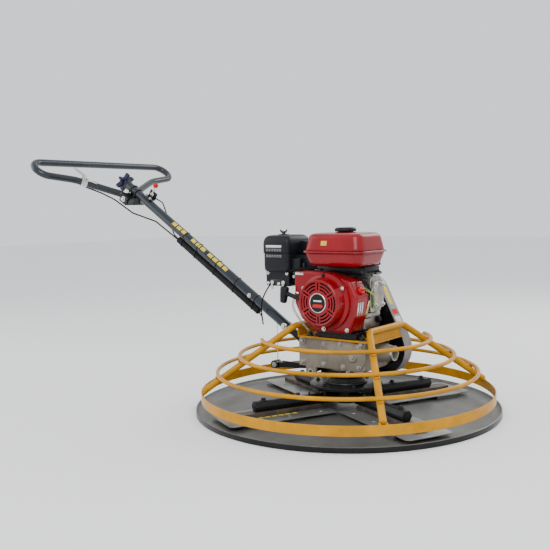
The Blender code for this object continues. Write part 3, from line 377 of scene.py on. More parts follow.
def capsule(first, second, radius, steps=8, second_radius=None):
    """The outline of a band pulled tight round two circles, as (x, y) points."""
    first, second = Vector(first), Vector(second)
    other = radius if second_radius is None else second_radius
    run = second - first
    heading = atan2(run.y, run.x)
    lean = acos((radius - other) / run.length)
    points = []
    for centre, size, start, end in ((first, radius, lean, 2 * pi - lean), (second, other, -lean, lean)):
        for step in range(steps + 1):
            angle = heading + start + (end - start) * step / steps
            points.append((centre.x + size * cos(angle), centre.y + size * sin(angle)))
    return points


def arc_slot(radius, width, start, end):
    """The outline of a curved slot with round ends, about the origin."""
    steps = 10
    points = []
    for side, first, last in ((1, start, end), (-1, end, start)):
        reach = radius + side * width / 2
        for step in range(steps + 1):
            angle = first + (last - first) * step / steps
            points.append((reach * cos(angle), reach * sin(angle)))
        tip = Vector((cos(last), sin(last))) * radius
        for step in range(1, 4):
            angle = last + pi * (step / 4 if side > 0 else 1 + step / 4)
            points.append((tip.x + width / 2 * cos(angle), tip.y + width / 2 * sin(angle)))
    return points


def rounded_path(corners, radii, steps=8, closed=False):
    corners = [Vector(corner) for corner in corners]
    if isinstance(radii, float):
        radii = [radii] * len(corners)
    path = []
    for index, corner in enumerate(corners):
        if not closed and index in (0, len(corners) - 1):
            path.append(corner)
            continue
        before = (corners[index - 1] - corner).normalized()
        after = (corners[(index + 1) % len(corners)] - corner).normalized()
        half = before.angle(after) / 2
        start = corner + before * radii[index] / tan(half)
        centre = corner + (before + after).normalized() * radii[index] / sin(half)
        end = corner + after * radii[index] / tan(half)
        for step in range(steps + 1):
            spoke = (start - centre).slerp(end - centre, step / steps)
            path.append(centre + spoke.normalized() * radii[index])
    return path


def smooth_path(points, per_span=8):
    """A Catmull-Rom curve through these points."""
    points = [Vector(point) for point in points]
    ends = [points[0] * 2 - points[1], *points, points[-1] * 2 - points[-2]]
    path = []
    for index in range(1, len(ends) - 2):
        a, b, c, d = ends[index - 1 : index + 3]
        for step in range(per_span):
            t = step / per_span
            path.append(
                (
                    b * 2 + (c - a) * t + (a * 2 - b * 5 + c * 4 - d) * t * t + (
                        b * 3 - a - c * 3 + d
                    ) * t**3
                ) / 2
            )
    return [*path, points[-1]]


def sweep(path, radius, segments=16, closed=False, flat=1.0):
    """A bar along a path. Its radius can change from point to point, and flat under 1 squeezes it."""
    path = [Vector(point) for point in path]
    count = len(path)
    radii = radius if isinstance(radius, list) else [radius] * count
    shape = bmesh.new()
    loops = []
    side = None
    for index, point in enumerate(path):
        before = path[index - 1] if index or closed else path[0]
        after = path[(index + 1) % count] if index < count - 1 or closed else path[-1]
        ahead = (after - before).normalized()
        if side is None:
            side = ahead.orthogonal().normalized()
        side = (side - ahead * side.dot(ahead)).normalized()
        up = ahead.cross(side)
        loop = []
        for step in range(segments):
            angle = 2 * pi * step / segments
            spoke = side * cos(angle) + up * sin(angle) * flat
            loop.append(shape.verts.new(point + spoke * radii[index]))
        loops.append(loop)
    for index in range(count if closed else count - 1):
        lower, upper = loops[index], loops[(index + 1) % count]
        for step in range(segments):
            later = (step + 1) % segments
            shape.faces.new([lower[step], lower[later], upper[later], upper[step]])
    if not closed:
        shape.faces.new(loops[0])
        shape.faces.new(loops[-1])
    return shape


def bolt(width, washer=True, height=None):
    """A hexagon bolt head with a chamfered top, on its washer. Width is across the flats."""
    height = height or width * 0.62
    base = width * 0.16 if washer else 0.0
    corner = width / 2 / cos(pi / 6)
    rings = []
    for radius, level in ((corner, base), (corner, base + height * 0.84), (width * 0.44, base + height)):
        ring = []
        for step in range(12):
            reach = radius if step % 2 == 0 or radius < corner else width / 2
            ring.append((*on_circle(reach, pi / 6 * step), level))
        rings.append(ring)
    head = loft(rings)
    if not washer:
        return head
    edge = width * 0.04
    reach = width * 0.92
    return join(head, lathe([(0, 0), (reach, 0), (reach, base - edge), (reach - edge, base), (0, base)], 28))


def bolts(width, direction, spots, **options):
    """Bolts of one size at several points, all facing one way."""
    return [placed(bolt(width, **options), along(spot, direction)) for spot in spots]


def peg(radius, low, high, segments):
    """A plain round bar along Z."""
    return lathe([(0, low), (radius, low), (radius, high), (0, high)], segments)


def curve(points, radius, segments=12, per_span=8, **options):
    """A bar along the smooth curve through these points."""
    return sweep(smooth_path(points, per_span), radius, segments, **options)


def ball(radius, place):
    shape = bmesh.new()
    bmesh.ops.create_icosphere(shape, subdivisions=4, radius=radius)
    return placed(shape, place)


def carve(shape, cutter):
    """The shape less the cutter, as a new mesh."""
    objects = []
    for bm in (shape, cutter):
        bmesh.ops.recalc_face_normals(bm, faces=bm.faces)
        mesh = bpy.data.meshes.new("work")
        bm.to_mesh(mesh)
        bm.free()
        obj = bpy.data.objects.new("work", mesh)
        bpy.context.scene.collection.objects.link(obj)
        objects.append(obj)
    modifier = objects[0].modifiers.new("cut", "BOOLEAN")
    modifier.operation = "DIFFERENCE"
    modifier.solver = "EXACT"
    modifier.use_self = True
    modifier.object = objects[1]
    graph = bpy.context.evaluated_depsgraph_get()
    result = bmesh.new()
    result.from_mesh(bpy.data.meshes.new_from_object(objects[0].evaluated_get(graph)))
    for obj in objects:
        bpy.data.objects.remove(obj)
    return result


def piece(name, shape, look, body="frame", angle=35, levels=0, stands_for=()):
    """A visible piece of the object, which rides on a body and can stand for CAD nodes."""
    bmesh.ops.recalc_face_normals(shape, faces=shape.faces)
    mesh = bpy.data.meshes.new(name)
    shape.to_mesh(mesh)
    shape.free()
    mesh.materials.append(LOOKS[look])
    mesh.shade_smooth()
    mesh.set_sharp_from_angle(angle=radians(angle))
    obj = bpy.data.objects.new(name, mesh)
    bpy.context.scene.collection.objects.link(obj)
    if levels:
        modifier = obj.modifiers.new("smooth", "SUBSURF")
        modifier.levels = levels
        modifier.render_levels = levels
    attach(obj, body)
    if stands_for:
        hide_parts(*stands_for)
    return obj


# ---------------------------------------------------------------- float pan, blades and arms

BLADE_ANGLE = radians(-115.5)
BLADE_BOTTOM, BLADE_TOP = 0.0125, 0.0155
BLADE_HALF = 0.0815
BLADE_ENDS = (0.0845, 0.446)
BACKING_TOP = 0.0285
ARM_HEIGHT = 0.0448
ARM_HALF = 0.016
NUT_STATIONS, NUT_SIDE = (0.125, 0.235, 0.345), 0.05


def arm_place(number):
    """The frame of an arm and its blade, with X outward along the arm."""
    return at(0, 0, ARM_HEIGHT) @ Matrix.Rotation(BLADE_ANGLE + pi / 2 * (number - 1), 4, "Z")


def make_blades():
    low, high = BLADE_BOTTOM - ARM_HEIGHT, BLADE_TOP - ARM_HEIGHT
    nick = 0.012
    inner, outer = BLADE_ENDS
    outline = [
        (inner, -BLADE_HALF),
        (outer - nick, -BLADE_HALF),
        (outer, -BLADE_HALF + nick),
        (outer, BLADE_HALF - nick),
        (outer - nick, BLADE_HALF),
        (inner, BLADE_HALF),
    ]
    for number in range(1, 5):
        turn = arm_place(number)
        body = f"arm_{number}"
        parts = [plate(outline, low, high, 0.0006)]
        for x in NUT_STATIONS:
            for y in (-NUT_SIDE, NUT_SIDE):
                nut = lathe(mm((0, 0), (7.5, 0), (6.8, 1.2), (0, 1.4)), 24)
                parts.append(placed(nut, at(x, y, high)))
        sheet = placed(join(*parts), turn)
        piece(f"blade_sheet_{number}", sheet, "blade", body, stands_for=[f"blade_{number}"])
        bar = block((0.092, -0.021, high - 0.0004), (0.402, 0.021, BACKING_TOP - ARM_HEIGHT), 0.0012)
        piece(f"backing_bar_{number}", placed(bar, turn), "rust", body)
        if number == 1:
            marks = []
            for step in range(6):
                x = 0.2 + 0.023 * step
                marks.append(block((x, 0.0235, high - 0.0002), (x + 0.017, 0.034, high + 0.0004)))
            piece("blade_marks", placed(join(*marks), turn), "mark_yellow", body)


def make_pan_edge_shade():
    """A black band round the pan's outer wall: painted shade for that low wall, which stands in shadow."""
    outside, bottom, top = 0.4902, 0.0006, 0.0152
    profile = [
        (outside - 0.0012, bottom + 0.0004),
        (outside - 0.0002, bottom),
        (outside, bottom + 0.0006),
        (outside, top - 0.0004),
        (outside - 0.0004, top),
        (outside - 0.0012, top - 0.0004),
    ]
    piece("pan_edge_shade", lathe(profile, 256), "black", "pan")


def make_arms():
    """Hexagonal arms with bevelled ends, their bolts, and the pitch levers that the collar presses."""
    corner = ARM_HALF / cos(pi / 6)
    outline = [on_circle(corner, pi / 3 * step) for step in range(6)]
    for number in range(1, 5):
        turn = arm_place(number)
        bar = placed(plate(outline, 0.0925, 0.333, 0.0014), turned(90, "Z") @ turned(90, "X"))
        journal = placed(peg(0.0125, 0.03, 0.095, 32), along((0, 0, 0), (1, 0, 0)))
        lever = block((0.0945, 0.004, -0.007), (0.1125, 0.049, 0.009), 0.002)
        pin = lathe(mm((0, 4), (5.5, 4), (5.5, 30.2), (4.5, 31.2), (0, 31.2)), 24)
        parts = [bar, journal, lever, placed(pin, at(0.1035, 0.04, 0))]
        body = f"arm_{number}"
        piece(f"arm_bar_{number}", placed(join(*parts), turn), "black", body, stands_for=[body])
        heads = [placed(bolt(0.0135, height=0.0075), at(x, 0, ARM_HALF)) for x in (0.18, 0.3)]
        nipple = lathe(mm((0, 0), (3.5, 0), (3.5, 4), (2, 6), (3, 8), (0, 9)), 16)
        heads.append(placed(nipple, at(0.138, 0, ARM_HALF)))
        piece(f"arm_bolts_{number}", placed(join(*heads), turn), "dark_steel", body)


def make_hub_details():
    """Set screws round the spider hub, and the ring of the collar's bearing."""
    screws = []
    for number in range(1, 5):
        screw = bolt(0.01, washer=False, height=0.003)
        screws.append(placed(screw, arm_place(number) @ at(0.062, 0, 0.0193)))
    piece("hub_screws", join(*screws), "dark_steel", "rotor")
    race = lathe(mm((58.5, 87), (68, 87), (69, 88.5), (68, 90.5), (58.5, 90.5)), 72)
    angles = [pi / 3 * step + 0.3 for step in range(6)]
    screws = [placed(bolt(0.009), at(*on_circle(0.096, angle), 0.0862)) for angle in angles]
    piece("collar_race", join(race, *screws), "dark_steel", "collar")


# ---------------------------------------------------------------- guard ring

GUARD_TUBE = 0.0105
HOOP_ROD = 0.0062
HOOP_UPPER_RADIUS = 0.272
HOOP_UPPER_SPAN = (radians(-141), radians(51))
GUARD_TOP = 0.273
LEG_END_RADIUS = 0.4655
LEG_END_HEIGHT = 0.074
GUARD_TUBES = (("front", 0.152, 1), ("rear", -0.129, -1))
GUARD_HALF_Y = 0.102
BAND_RADIUS, BAND_SHEET, BAND_LOW, BAND_HIGH = 0.472, 0.004, 0.04, 0.07
BEAD = 0.0036


def leg_end(side, y_side):
    reach = LEG_END_RADIUS / sqrt(2)
    return Vector((side * reach, y_side * reach, LEG_END_HEIGHT))


def leg_point(x, side, y_side, radius):
    """The point of a guard leg's axis that is this far from the rotor's axis."""
    top, end = Vector((x, y_side * GUARD_HALF_Y, GUARD_TOP)), leg_end(side, y_side)
    near, far = 0.0, 1.0
    for _ in range(40):
        share = (near + far) / 2
        point = top.lerp(end, share)
        if hypot(point.x, point.y) < radius:
            near = share
        else:
            far = share
    return top.lerp(end, share)


def weld_bead(centre, direction, length, size, seed):
    """A short bead of weld metal, with the ripples that each pass leaves."""
    ahead = Vector(direction).normalized()
    points, radii = [], []
    for step in range(13):
        share = step / 12
        points.append(Vector(centre) + ahead * length * (share - 0.5))
        ripple = 1 + 0.1 * sin(share * 38 + seed) + 0.06 * sin(share * 71 + seed * 2)
        radii.append(size * ripple * sqrt(max(0.05, 1 - (2 * share - 1) ** 4)))
    return sweep(points, radii, 10)


def outward_at(point):
    """The directions away from the rotor's axis and around it."""
    outward = Vector((point.x, point.y, 0)).normalized()
    return outward, outward.cross(Vector((0, 0, 1)))


def foot_beads(foot):
    """The welds between a guard leg's end and the band."""
    outward, around = outward_at(foot)
    beads = []
    for shift in (-1, 1):
        spot = foot + around * shift * 0.0095 + Vector((0, 0, -0.003))
        beads.append(weld_bead(spot, outward, 0.012, BEAD, foot.x * 90 + shift))
    spot = foot - outward * 0.009 - Vector((0, 0, 0.0035))
    return [*beads, weld_bead(spot, around, 0.016, BEAD, foot.y * 70)]


def hoop_ring(name, radius, height):
    """A closed hoop, or the open one at the top, which has tapered ends."""
    if name == "hoop_upper":
        start, end = HOOP_UPPER_SPAN
        steps = 96
        path = [
            (*on_circle(radius, start + (end - start) * step / steps), height)
            for step in range(steps + 1)
        ]
        radii = [HOOP_ROD] * (steps + 1)
        radii[0] = radii[-1] = HOOP_ROD * 0.75
        return sweep(path, radii, 18)
    steps = 200
    path = [(*on_circle(radius, step * pi / (steps / 2)), height) for step in range(steps)]
    return sweep(path, HOOP_ROD, 18, closed=True)


def make_guard():
    """The engine guard's two bars, its three hoops and its band, with the welds that join them."""
    beads = []
    for name, x, side in GUARD_TUBES:
        tops = [(x, -GUARD_HALF_Y, GUARD_TOP), (x, GUARD_HALF_Y, GUARD_TOP)]
        path = rounded_path([leg_end(side, -1), *tops, leg_end(side, 1)], 0.03, 12)
        piece(f"guard_{name}_bar", sweep(path, GUARD_TUBE, 28), "yellow", stands_for=[f"guard_tube_{name}"])
        for y_side in (-1, 1):
            beads += foot_beads(leg_end(side, y_side))
    for name in ("hoop_lower", "hoop_middle", "hoop_upper"):
        low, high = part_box(name)
        height = (low.z + high.z) / 2
        radius = HOOP_UPPER_RADIUS if name == "hoop_upper" else (high.x - low.x) / 2 - HOOP_ROD
        piece(f"{name}_rod", hoop_ring(name, radius, height), "yellow", stands_for=[name])
        for _, x, side in GUARD_TUBES:
            for y_side in (-1, 1):
                if name == "hoop_upper" and (side, y_side) == (-1, 1):
                    continue
                leg = leg_point(x, side, y_side, radius)
                spot = Vector((leg.x, leg.y, (leg.z + height) / 2 + 0.0015))
                outward, around = outward_at(leg)
                for shift in (-1, 1):
                    place = spot + outward * shift * 0.0042
                    beads.append(weld_bead(place, around, 0.017, 0.0034, leg.x * 50 + shift))
    edge = 0.0009
    inner = BAND_RADIUS - BAND_SHEET
    profile = [
        (inner + edge, BAND_LOW),
        (BAND_RADIUS - edge, BAND_LOW),
        (BAND_RADIUS, BAND_LOW + edge),
        (BAND_RADIUS, BAND_HIGH - edge),
        (BAND_RADIUS - edge, BAND_HIGH),
        (inner + edge, BAND_HIGH),
        (inner, BAND_HIGH - edge),
        (inner, BAND_LOW + edge),
    ]
    piece("guard_band_ring", lathe(profile, 256), "yellow", stands_for=["guard_band"])
    seam = (-BAND_RADIUS - 0.0003, 0.02, (BAND_LOW + BAND_HIGH) / 2)
    beads.append(weld_bead(seam, (0, 0, 1), 0.028, 0.0022, 3))
    piece("weld_beads", join(*beads), "yellow", angle=60)


def make_plate_bolts():
    """The four bolts that hold the engine in the plate's slots, and those that hold the gearbox under it."""
    top = 0.2402
    heads = []
    for x in (-0.088, 0.109):
        for y in (-0.072, 0.072):
            heads.append(placed(bolt(0.014, height=0.009), at(x, y, top)))
            stud = mm((0, 0), (4.2, 0), (4.2, 15), (3.4, 16.2), (0, 16.2))
            heads.append(placed(lathe(stud, 16), at(x, y, top)))
    piece("engine_bolts", join(*heads), "dark_steel")
    heads = [placed(bolt(0.012), at(x, y, top)) for x in (-0.112, 0.135) for y in (-0.05, 0.05)]
    piece("gearbox_top_bolts", join(*heads), "steel")
    beads = []
    for _, x, side in GUARD_TUBES:
        for step in range(7):
            spot = (x - side * 0.003, -0.072 + 0.024 * step, GUARD_TOP - GUARD_TUBE)
            beads.append(weld_bead(spot, (0, 1, 0), 0.014, 0.0026, step))
    piece("plate_welds", join(*beads), "yellow", angle=60)


# ---------------------------------------------------------------- gearbox


def make_gearbox_details():
    """The worm cover, the side plates' bolts, the nose ring, the oil filler and the yoke's washers."""
    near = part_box("gearbox_cover")[1].y
    wide, end = (0.077, 0.186), (-0.015, 0.186)
    cover = plate(upright(capsule(wide, end, 0.0445, 20, 0.044)), 0, 0.004, 0.001, 2)
    lip = plate(upright(capsule(wide, end, 0.0375, 20, 0.037)), -0.0008, 0.002, 0.0007, 2)
    boss = lathe(mm((0, -4.6), (15, -4.6), (18.5, -1.2), (18.5, 1), (0, 1)), 36)
    shapes = [cover, lip, placed(boss, at(0.077, -0.186, 0))]
    place = along_y(0, near - 0.004, 0)
    piece("worm_cover", placed(join(*shapes), place), "cast", stands_for=["gearbox_cover"])
    spots = mm((40, 150), (98, 153.5), (98, 219), (30, 222.5), (-30, 219), (-35, 153))
    face = near - 0.004
    heads = bolts(0.01, (0, -1, 0), [(x, face, z) for x, z in spots], height=0.0042)
    plug = placed(bolt(0.014, height=0.006), along((0.077, face - 0.0042, 0.186), (0, -1, 0)))
    piece("cover_bolts", join(*heads, plug), "cast_steel")
    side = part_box("side_plate_front")[0].y
    spots = ((-0.118, 0.222), (-0.118, 0.152), (0.108, 0.228))
    heads = bolts(0.012, (0, -1, 0), [(x, side, z) for x, z in spots])
    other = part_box("side_plate_rear")[1].y
    heads += bolts(0.012, (0, 1, 0), [(x, other, z) for x, z in spots[:2]])
    piece("side_plate_bolts", join(*heads), "cast_steel")
    ring_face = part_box("gearbox_housing")[1].x
    lip = lathe(mm((18.5, 0), (23.5, 0), (24.2, -4), (23.6, -7), (22.5, -8), (18, -8)), 48)
    piece("nose_ring", placed(lip, along((ring_face - 0.0002, 0, 0.196), (1, 0, 0))), "steel")
    breather = lathe(mm((0, 0), (8, 0), (8, 4), (5, 5), (5, 10), (7.5, 11), (6.5, 16), (0, 17)), 28)
    piece("oil_filler", placed(breather, along((0.1182, 0.04, 0.218), (1, 0, 0))), "dark_steel")
    washers = []
    for way in (-1, 1):
        washer = lathe(mm((6.2, 0), (10.5, 0), (10.5, 1.8), (6.2, 1.8)), 28)
        washers.append(placed(washer, along((-0.088, way * 0.0748, 0.1215), (0, way, 0))))
    piece("yoke_pin_washers", join(*washers), "steel")


def make_yoke_details():
    """The caps on the cable's pin at the yoke's end, and the rib along the yoke."""
    caps = []
    for way in (-1, 1):
        cap = lathe(mm((0, 0), (9.8, 0), (9.8, 1.2), (6, 2), (0, 2)), 32)
        caps.append(placed(cap, along((-0.288, way * 0.0135, 0.1125), (0, way, 0))))
    piece("yoke_end_caps", join(*caps), "cast_steel", "yoke")
    piece("yoke_rib", block((-0.262, -0.0035, 0.1235), (-0.12, 0.0035, 0.1275), 0.001), "black", "yoke")


# ---------------------------------------------------------------- mast and handle

HANDLE_DROP, HANDLE_RISE = -0.0325, 0.08
HANDLE_TUBE = 0.0135
HANDLE_BENDS = ((1.0, 0.031), (1.092, 0.2), (1.203, 0.714))
HANDLE_BEND_RADII = (0.03, 0.15, 0.045)
MAST_RADIUS = 0.017
LEVER_STATION = 0.158
CLAMP_STATION = 0.965
SLEEVE_DROP = -0.031


def make_handle():
    """The loop handle, the bolts of its clamp and the two U-bolts over the mast."""
    half = [(0.94, HANDLE_BENDS[0][1], HANDLE_DROP)]
    half += [(x, y, HANDLE_DROP + HANDLE_RISE * (x - HANDLE_BENDS[0][0])) for x, y in HANDLE_BENDS]
    other = [(x, -y, z) for x, y, z in reversed(half)]
    path = rounded_path(half + other, [0.0, *HANDLE_BEND_RADII, *reversed(HANDLE_BEND_RADII), 0.0], 20)
    path = [MAST @ point for point in path]
    piece("handle_tube", sweep(path, HANDLE_TUBE, 32), "slate", stands_for=["handle_loop"])
    heads = bolts(0.013, (0, 0, -1), [(CLAMP_STATION, y, HANDLE_DROP - 0.0175) for y in (-0.014, 0.014)])
    for way in (-1, 1):
        heads += bolts(0.012, (0, way, 0), [(CLAMP_STATION, way * 0.05, HANDLE_DROP - 0.001)])
    piece("clamp_bolts", placed(join(*heads), MAST), "steel")
    rods = []
    for station in (0.95, 0.98):
        arc = []
        for step in range(25):
            up, across = on_circle(MAST_RADIUS + 0.0022, radians(-95 + 190 * step / 24))
            arc.append((station, across, up))
        path = [(station, arc[0][1], -0.02), *arc, (station, arc[-1][1], -0.02)]
        rods.append(sweep(path, 0.0024, 12))
    piece("mast_u_bolts", placed(join(*rods), MAST), "dark_steel")


def make_mast_details():
    """Plain paint blocks on the mast, its end rings, the sleeve under it and the ties that hold it."""
    blocks = []
    for start, count in ((0.398, 4), (0.524, 3), (0.64, 3)):
        for step in range(count):
            low = start + 0.028 * step
            blocks.append(tube_patch(low, low + 0.022, radians(14), radians(62)))
    piece("mast_marks", join(*blocks), "mark_yellow")
    ring = lathe(mm((14.2, 1014), (18.2, 1014), (18.6, 1016), (18.2, 1019.5), (14.2, 1019.5)), 48)
    piece("mast_end_ring", placed(ring, MAST @ turned(90, "Y")), "slate")
    path = [MAST @ Vector((station, 0, SLEEVE_DROP)) for station in (0.205, 0.2065, 0.665, 0.668)]
    sleeve = sweep(path, [0.0105, 0.0125, 0.0125, 0.0105], 24)
    piece("cable_sleeve", sleeve, "rubber", stands_for=["cable_conduit"])
    ties = []
    outline = capsule((0, 0), (SLEEVE_DROP, 0), MAST_RADIUS + 0.0009, 16, 0.0134)
    for station in (0.235, 0.34, 0.45, 0.56, 0.64):
        path = [MAST @ Vector((station, y, z)) for z, y in outline]
        ties.append(sweep(path, 0.0012, 8, closed=True))
        head = block((station - 0.003, 0.015, -0.022), (station + 0.003, 0.0195, -0.015), 0.0006)
        ties.append(placed(head, MAST))
    piece("cable_ties", join(*ties), "plastic")
    heads = []
    for way in (-1, 1):
        heads += bolts(0.013, (0, way, 0), [(-0.083, way * 0.03, z) for z in (0.158, 0.188)])
    piece("mast_foot_bolts", join(*heads), "steel")
    heads = bolts(0.013, (0, 1, 0), [(0.08, 0.0168, 0)]) + bolts(0.013, (0, -1, 0), [(0.08, -0.0168, 0)])
    heads += bolts(0.009, (0, 1, 0), [(0.262, 0.0166, 0)])
    piece("mast_pins", placed(join(*heads), MAST), "steel")


def tube_patch(start, end, first, last):
    """Thin paint on the mast, between two stations, and two angles from its top to its near side."""
    across = 8
    radius = MAST_RADIUS + 0.00025
    shape = bmesh.new()
    loops = []
    for reach in (radius, radius - 0.0006):
        for station in (start, end):
            row = []
            for step in range(across + 1):
                angle = first + (last - first) * step / across
                row.append(shape.verts.new((station, reach * sin(angle), reach * cos(angle))))
            loops.append(row)
    for a, b in ((0, 1), (2, 3)):
        for step in range(across):
            shape.faces.new([loops[a][step], loops[a][step + 1], loops[b][step + 1], loops[b][step]])
    for step in range(across):
        for a, b in ((0, 2), (1, 3)):
            shape.faces.new([loops[a][step], loops[a][step + 1], loops[b][step + 1], loops[b][step]])
    for step in (0, across):
        shape.faces.new([loops[0][step], loops[1][step], loops[3][step], loops[2][step]])
    return placed(shape, MAST)


def make_knob():
    """The six-armed knob at the mast's end."""
    radius, steps = 0.0395, 96
    points = []
    for step in range(steps):
        angle = 2 * pi * step / steps
        lobe = (0.5 + 0.5 * cos(6 * angle)) ** 1.5
        points.append(on_circle(radius * (0.56 + 0.44 * lobe), angle))
    star = plate(points, 0.006, 0.026, 0.003, 3)
    hub = lathe(
        mm((0, 0), (15, 0), (16, 1), (17.5, 10), (17.5, 22), (15, 30), (12, 32), (10, 29.5), (0, 29.5)), 48
    )
    screw = peg(0.006, -0.12, 0.005, 24)
    place = MAST @ at(1.024, 0, 0) @ turned(90, "Y")
    piece(
        "pitch_knob",
        placed(join(star, hub, screw), place),
        "navy",
        "knob",
        angle=45,
        stands_for=["star_knob"],
    )


def branch_frame():
    """The frame of the handle's near branch, with X along its tube."""
    (near_x, near_y), (far_x, far_y) = HANDLE_BENDS[:2]
    start = MAST @ Vector((near_x, near_y, HANDLE_DROP))
    end = MAST @ Vector((far_x, far_y, HANDLE_DROP + HANDLE_RISE * (far_x - near_x)))
    ahead = (end - start).normalized()
    above = (MAST.to_3x3() @ Vector((0, 0, 1))).normalized()
    across = above.cross(ahead).normalized()
    above = ahead.cross(across)
    return Matrix.Translation(start) @ Matrix((ahead, across, above)).transposed().to_4x4()


def make_controls():
    """The clutch hand lever, the throttle lever with its red ball, and the two cables along the mast."""
    branch = branch_frame()
    place = branch @ at(LEVER_STATION, 0, HANDLE_TUBE + 0.007) @ turned(-60, "Z")
    route = mm((-10, 0, 2.5), (12, 0, 2.5), (34, 2, 3.2), (56, 5, 3.4), (69, 7.2, 3))
    spine = smooth_path(route)
    last = len(spine) - 1
    rings = []
    for index, point in enumerate(spine):
        width = 0.008 + 0.0022 * sin(pi * index / last) if 0 < index < last else 0.004
        ring = []
        for step in range(16):
            angle = 2 * pi * step / 16
            ring.append((point.x, point.y + width * cos(angle), point.z + 0.0024 * sin(angle)))
        rings.append(ring)
    blade = loft(rings)
    boss = lathe(mm((0, -2), (6.8, -2), (6.8, 6.5), (5.5, 7.5), (3, 9), (0, 9)), 28)
    piece(
        "clutch_grip",
        placed(join(blade, boss), place),
        "steel",
        "clutch_hand_lever",
        stands_for=["clutch_lever"],
    )
    sides = (LEVER_STATION - 0.0085, LEVER_STATION + 0.0085)
    parts = [placed(bolt(0.006), at(x, 0.0075, HANDLE_TUBE + 0.0045)) for x in sides]
    low = (LEVER_STATION - 0.04, 0.0025, HANDLE_TUBE + 0.0012)
    parts.append(block(low, (LEVER_STATION - 0.012, 0.0095, HANDLE_TUBE + 0.0042), 0.0008))
    stop = lathe(mm((1.2, 0), (4.2, 0), (4.2, 12), (3, 16), (1.2, 16)), 20)
    parts.append(placed(stop, along((LEVER_STATION - 0.046, 0.006, HANDLE_TUBE + 0.0028), (1, 0, 0))))
    piece("lever_bracket_screws", placed(join(*parts), branch), "steel")

    station, height = 0.888, MAST_RADIUS + 0.016
    pivot = MAST @ at(station, -0.0105, height)
    disc = mm((0, -1.5), (8.5, -1.5), (9, -1), (9, 3), (8.5, 3.5), (0, 3.5))
    disc = placed(lathe(disc, 32), pivot @ turned(-90, "X"))
    stem = lathe(mm((0, 2), (3.2, 2), (2.8, 34), (0, 34)), 20)
    stem = placed(stem, pivot @ at(0, 0.0015, 0))
    piece("throttle_arm", join(disc, stem), "steel", "throttle", stands_for=["throttle_lever"])
    piece("throttle_ball", ball(0.0103, pivot @ at(0, 0.0015, 0.042)), "ball_red", "throttle")
    screws = bolts(0.009, (0, -1, 0), [(station, -0.016, height)])
    screws += [placed(bolt(0.007), at(station + x, 0.008, MAST_RADIUS + 0.006)) for x in (-0.014, 0.014)]
    piece("throttle_screws", placed(join(*screws), MAST), "steel")

    clutch_route = mm(
        (672.5, 6, -31), (800, 10, -34), (900, 40, -58), (1000, 62, -56), (1040, 98, -52), (1085, 150, -50)
    )
    path = [MAST @ point for point in rounded_path(clutch_route, 0.04, 10)]
    piece("clutch_cable_outer", sweep(path, 0.003, 14), "plastic", stands_for=["clutch_cable"])
    throttle_route = mm((866, -12, 30), (835, -24, 30), (790, -34, -10), (720, -26, -44), (674, -8, -36))
    path = [MAST @ point for point in rounded_path(throttle_route, 0.02, 10)]
    piece("throttle_cable_outer", sweep(path, 0.0025, 14), "plastic", stands_for=["throttle_cable"])


# ---------------------------------------------------------------- engine

CRANK = Vector((0.01, 0.0, 0.361))
SHROUD_FRONT, SHROUD_BACK = -0.128, -0.06
SHROUD_CORNERS = mm(
    (-122, 91.5), (-14, 92.5), (88, 66), (113.5, 16), (106, -42), (84, -95), (-42, -97.5), (-98, -58),
    (-122, -10),
)


def polar(radius, angle):
    """A point round the crankshaft as seen from the recoil side, in the frame of along_y."""
    return (radius * cos(angle), -radius * sin(angle))


def make_shroud():
    """The red cooling shroud with its round mouth, a clip, its three-slot air outlet and two screws."""
    corners = [(CRANK.x + x, CRANK.z + z, 0) for x, z in SHROUD_CORNERS]
    outline = [(point.x, point.y) for point in rounded_path(corners, 0.015, 8, closed=True)]
    depth = SHROUD_BACK - SHROUD_FRONT
    start = 0.0032
    skin = plate(upright(outline), start, depth)
    front = [edge for edge in skin.edges if all(abs(v.co.z - start) < 1e-6 for v in edge.verts)]
    bmesh.ops.bevel(skin, geom=front, offset=0.0085, segments=5, profile=0.5, affect="EDGES")
    centre = at(CRANK.x, -CRANK.z, 0)
    skin = carve(skin, placed(peg(0.084, -0.01, depth - 0.004, 72), centre))
    mouth = mm((79.7, 30), (79.7, 0.4), (90, 0), (90.6, 1.2), (90.6, 4), (88.5, 30))
    shapes = [skin, placed(lathe(mouth, 96), centre)]
    place = along_y(0, SHROUD_FRONT, 0)
    piece("cooling_shroud", placed(join(*shapes), place), "red", angle=30, stands_for=["fan_shroud"])
    # a black sleeve just inside the mouth's red wall: painted shade that darkens the bore behind the starter
    # cover
    bore_shade = lathe(mm((79.2, 30), (79.2, 1), (79.6, 1), (79.6, 30)), 72)
    piece("shroud_bore_shade", placed(bore_shade, place @ centre), "black")
    # a slotted clip on the top left corner, and the three-slot air outlet on the right flank
    low = (CRANK.x - 0.116, SHROUD_FRONT + 0.0015, CRANK.z + 0.08)
    clips = [block(low, (CRANK.x - 0.084, SHROUD_FRONT + 0.004, CRANK.z + 0.087), 0.0008)]
    upper, lower = (Vector((x, 0, z)) for x, z in SHROUD_CORNERS[3:5])
    along_face = (lower - upper).normalized()
    facing = Vector((-along_face.z, 0, along_face.x))
    middle = CRANK + (upper + lower) / 2 + Vector((0, -0.101, -0.006))
    turn = Matrix((along_face, Vector((0, 1, 0)), facing)).transposed().to_4x4()
    for step in range(3):
        rib = block((-0.021, -0.0032, -0.001), (0.021, 0.0032, 0.0018), 0.0012)
        clips.append(placed(rib, Matrix.Translation(middle + Vector((0, -0.013 + 0.0115 * step, 0))) @ turn))
    piece("shroud_clips", join(*clips), "steel")
    spots = [(CRANK.x + x, SHROUD_FRONT + start, CRANK.z + z) for x, z in ((0.076, -0.084), (-0.111, 0.02))]
    piece("shroud_bolts", join(*bolts(0.0075, (0, -1, 0), spots)), "steel")


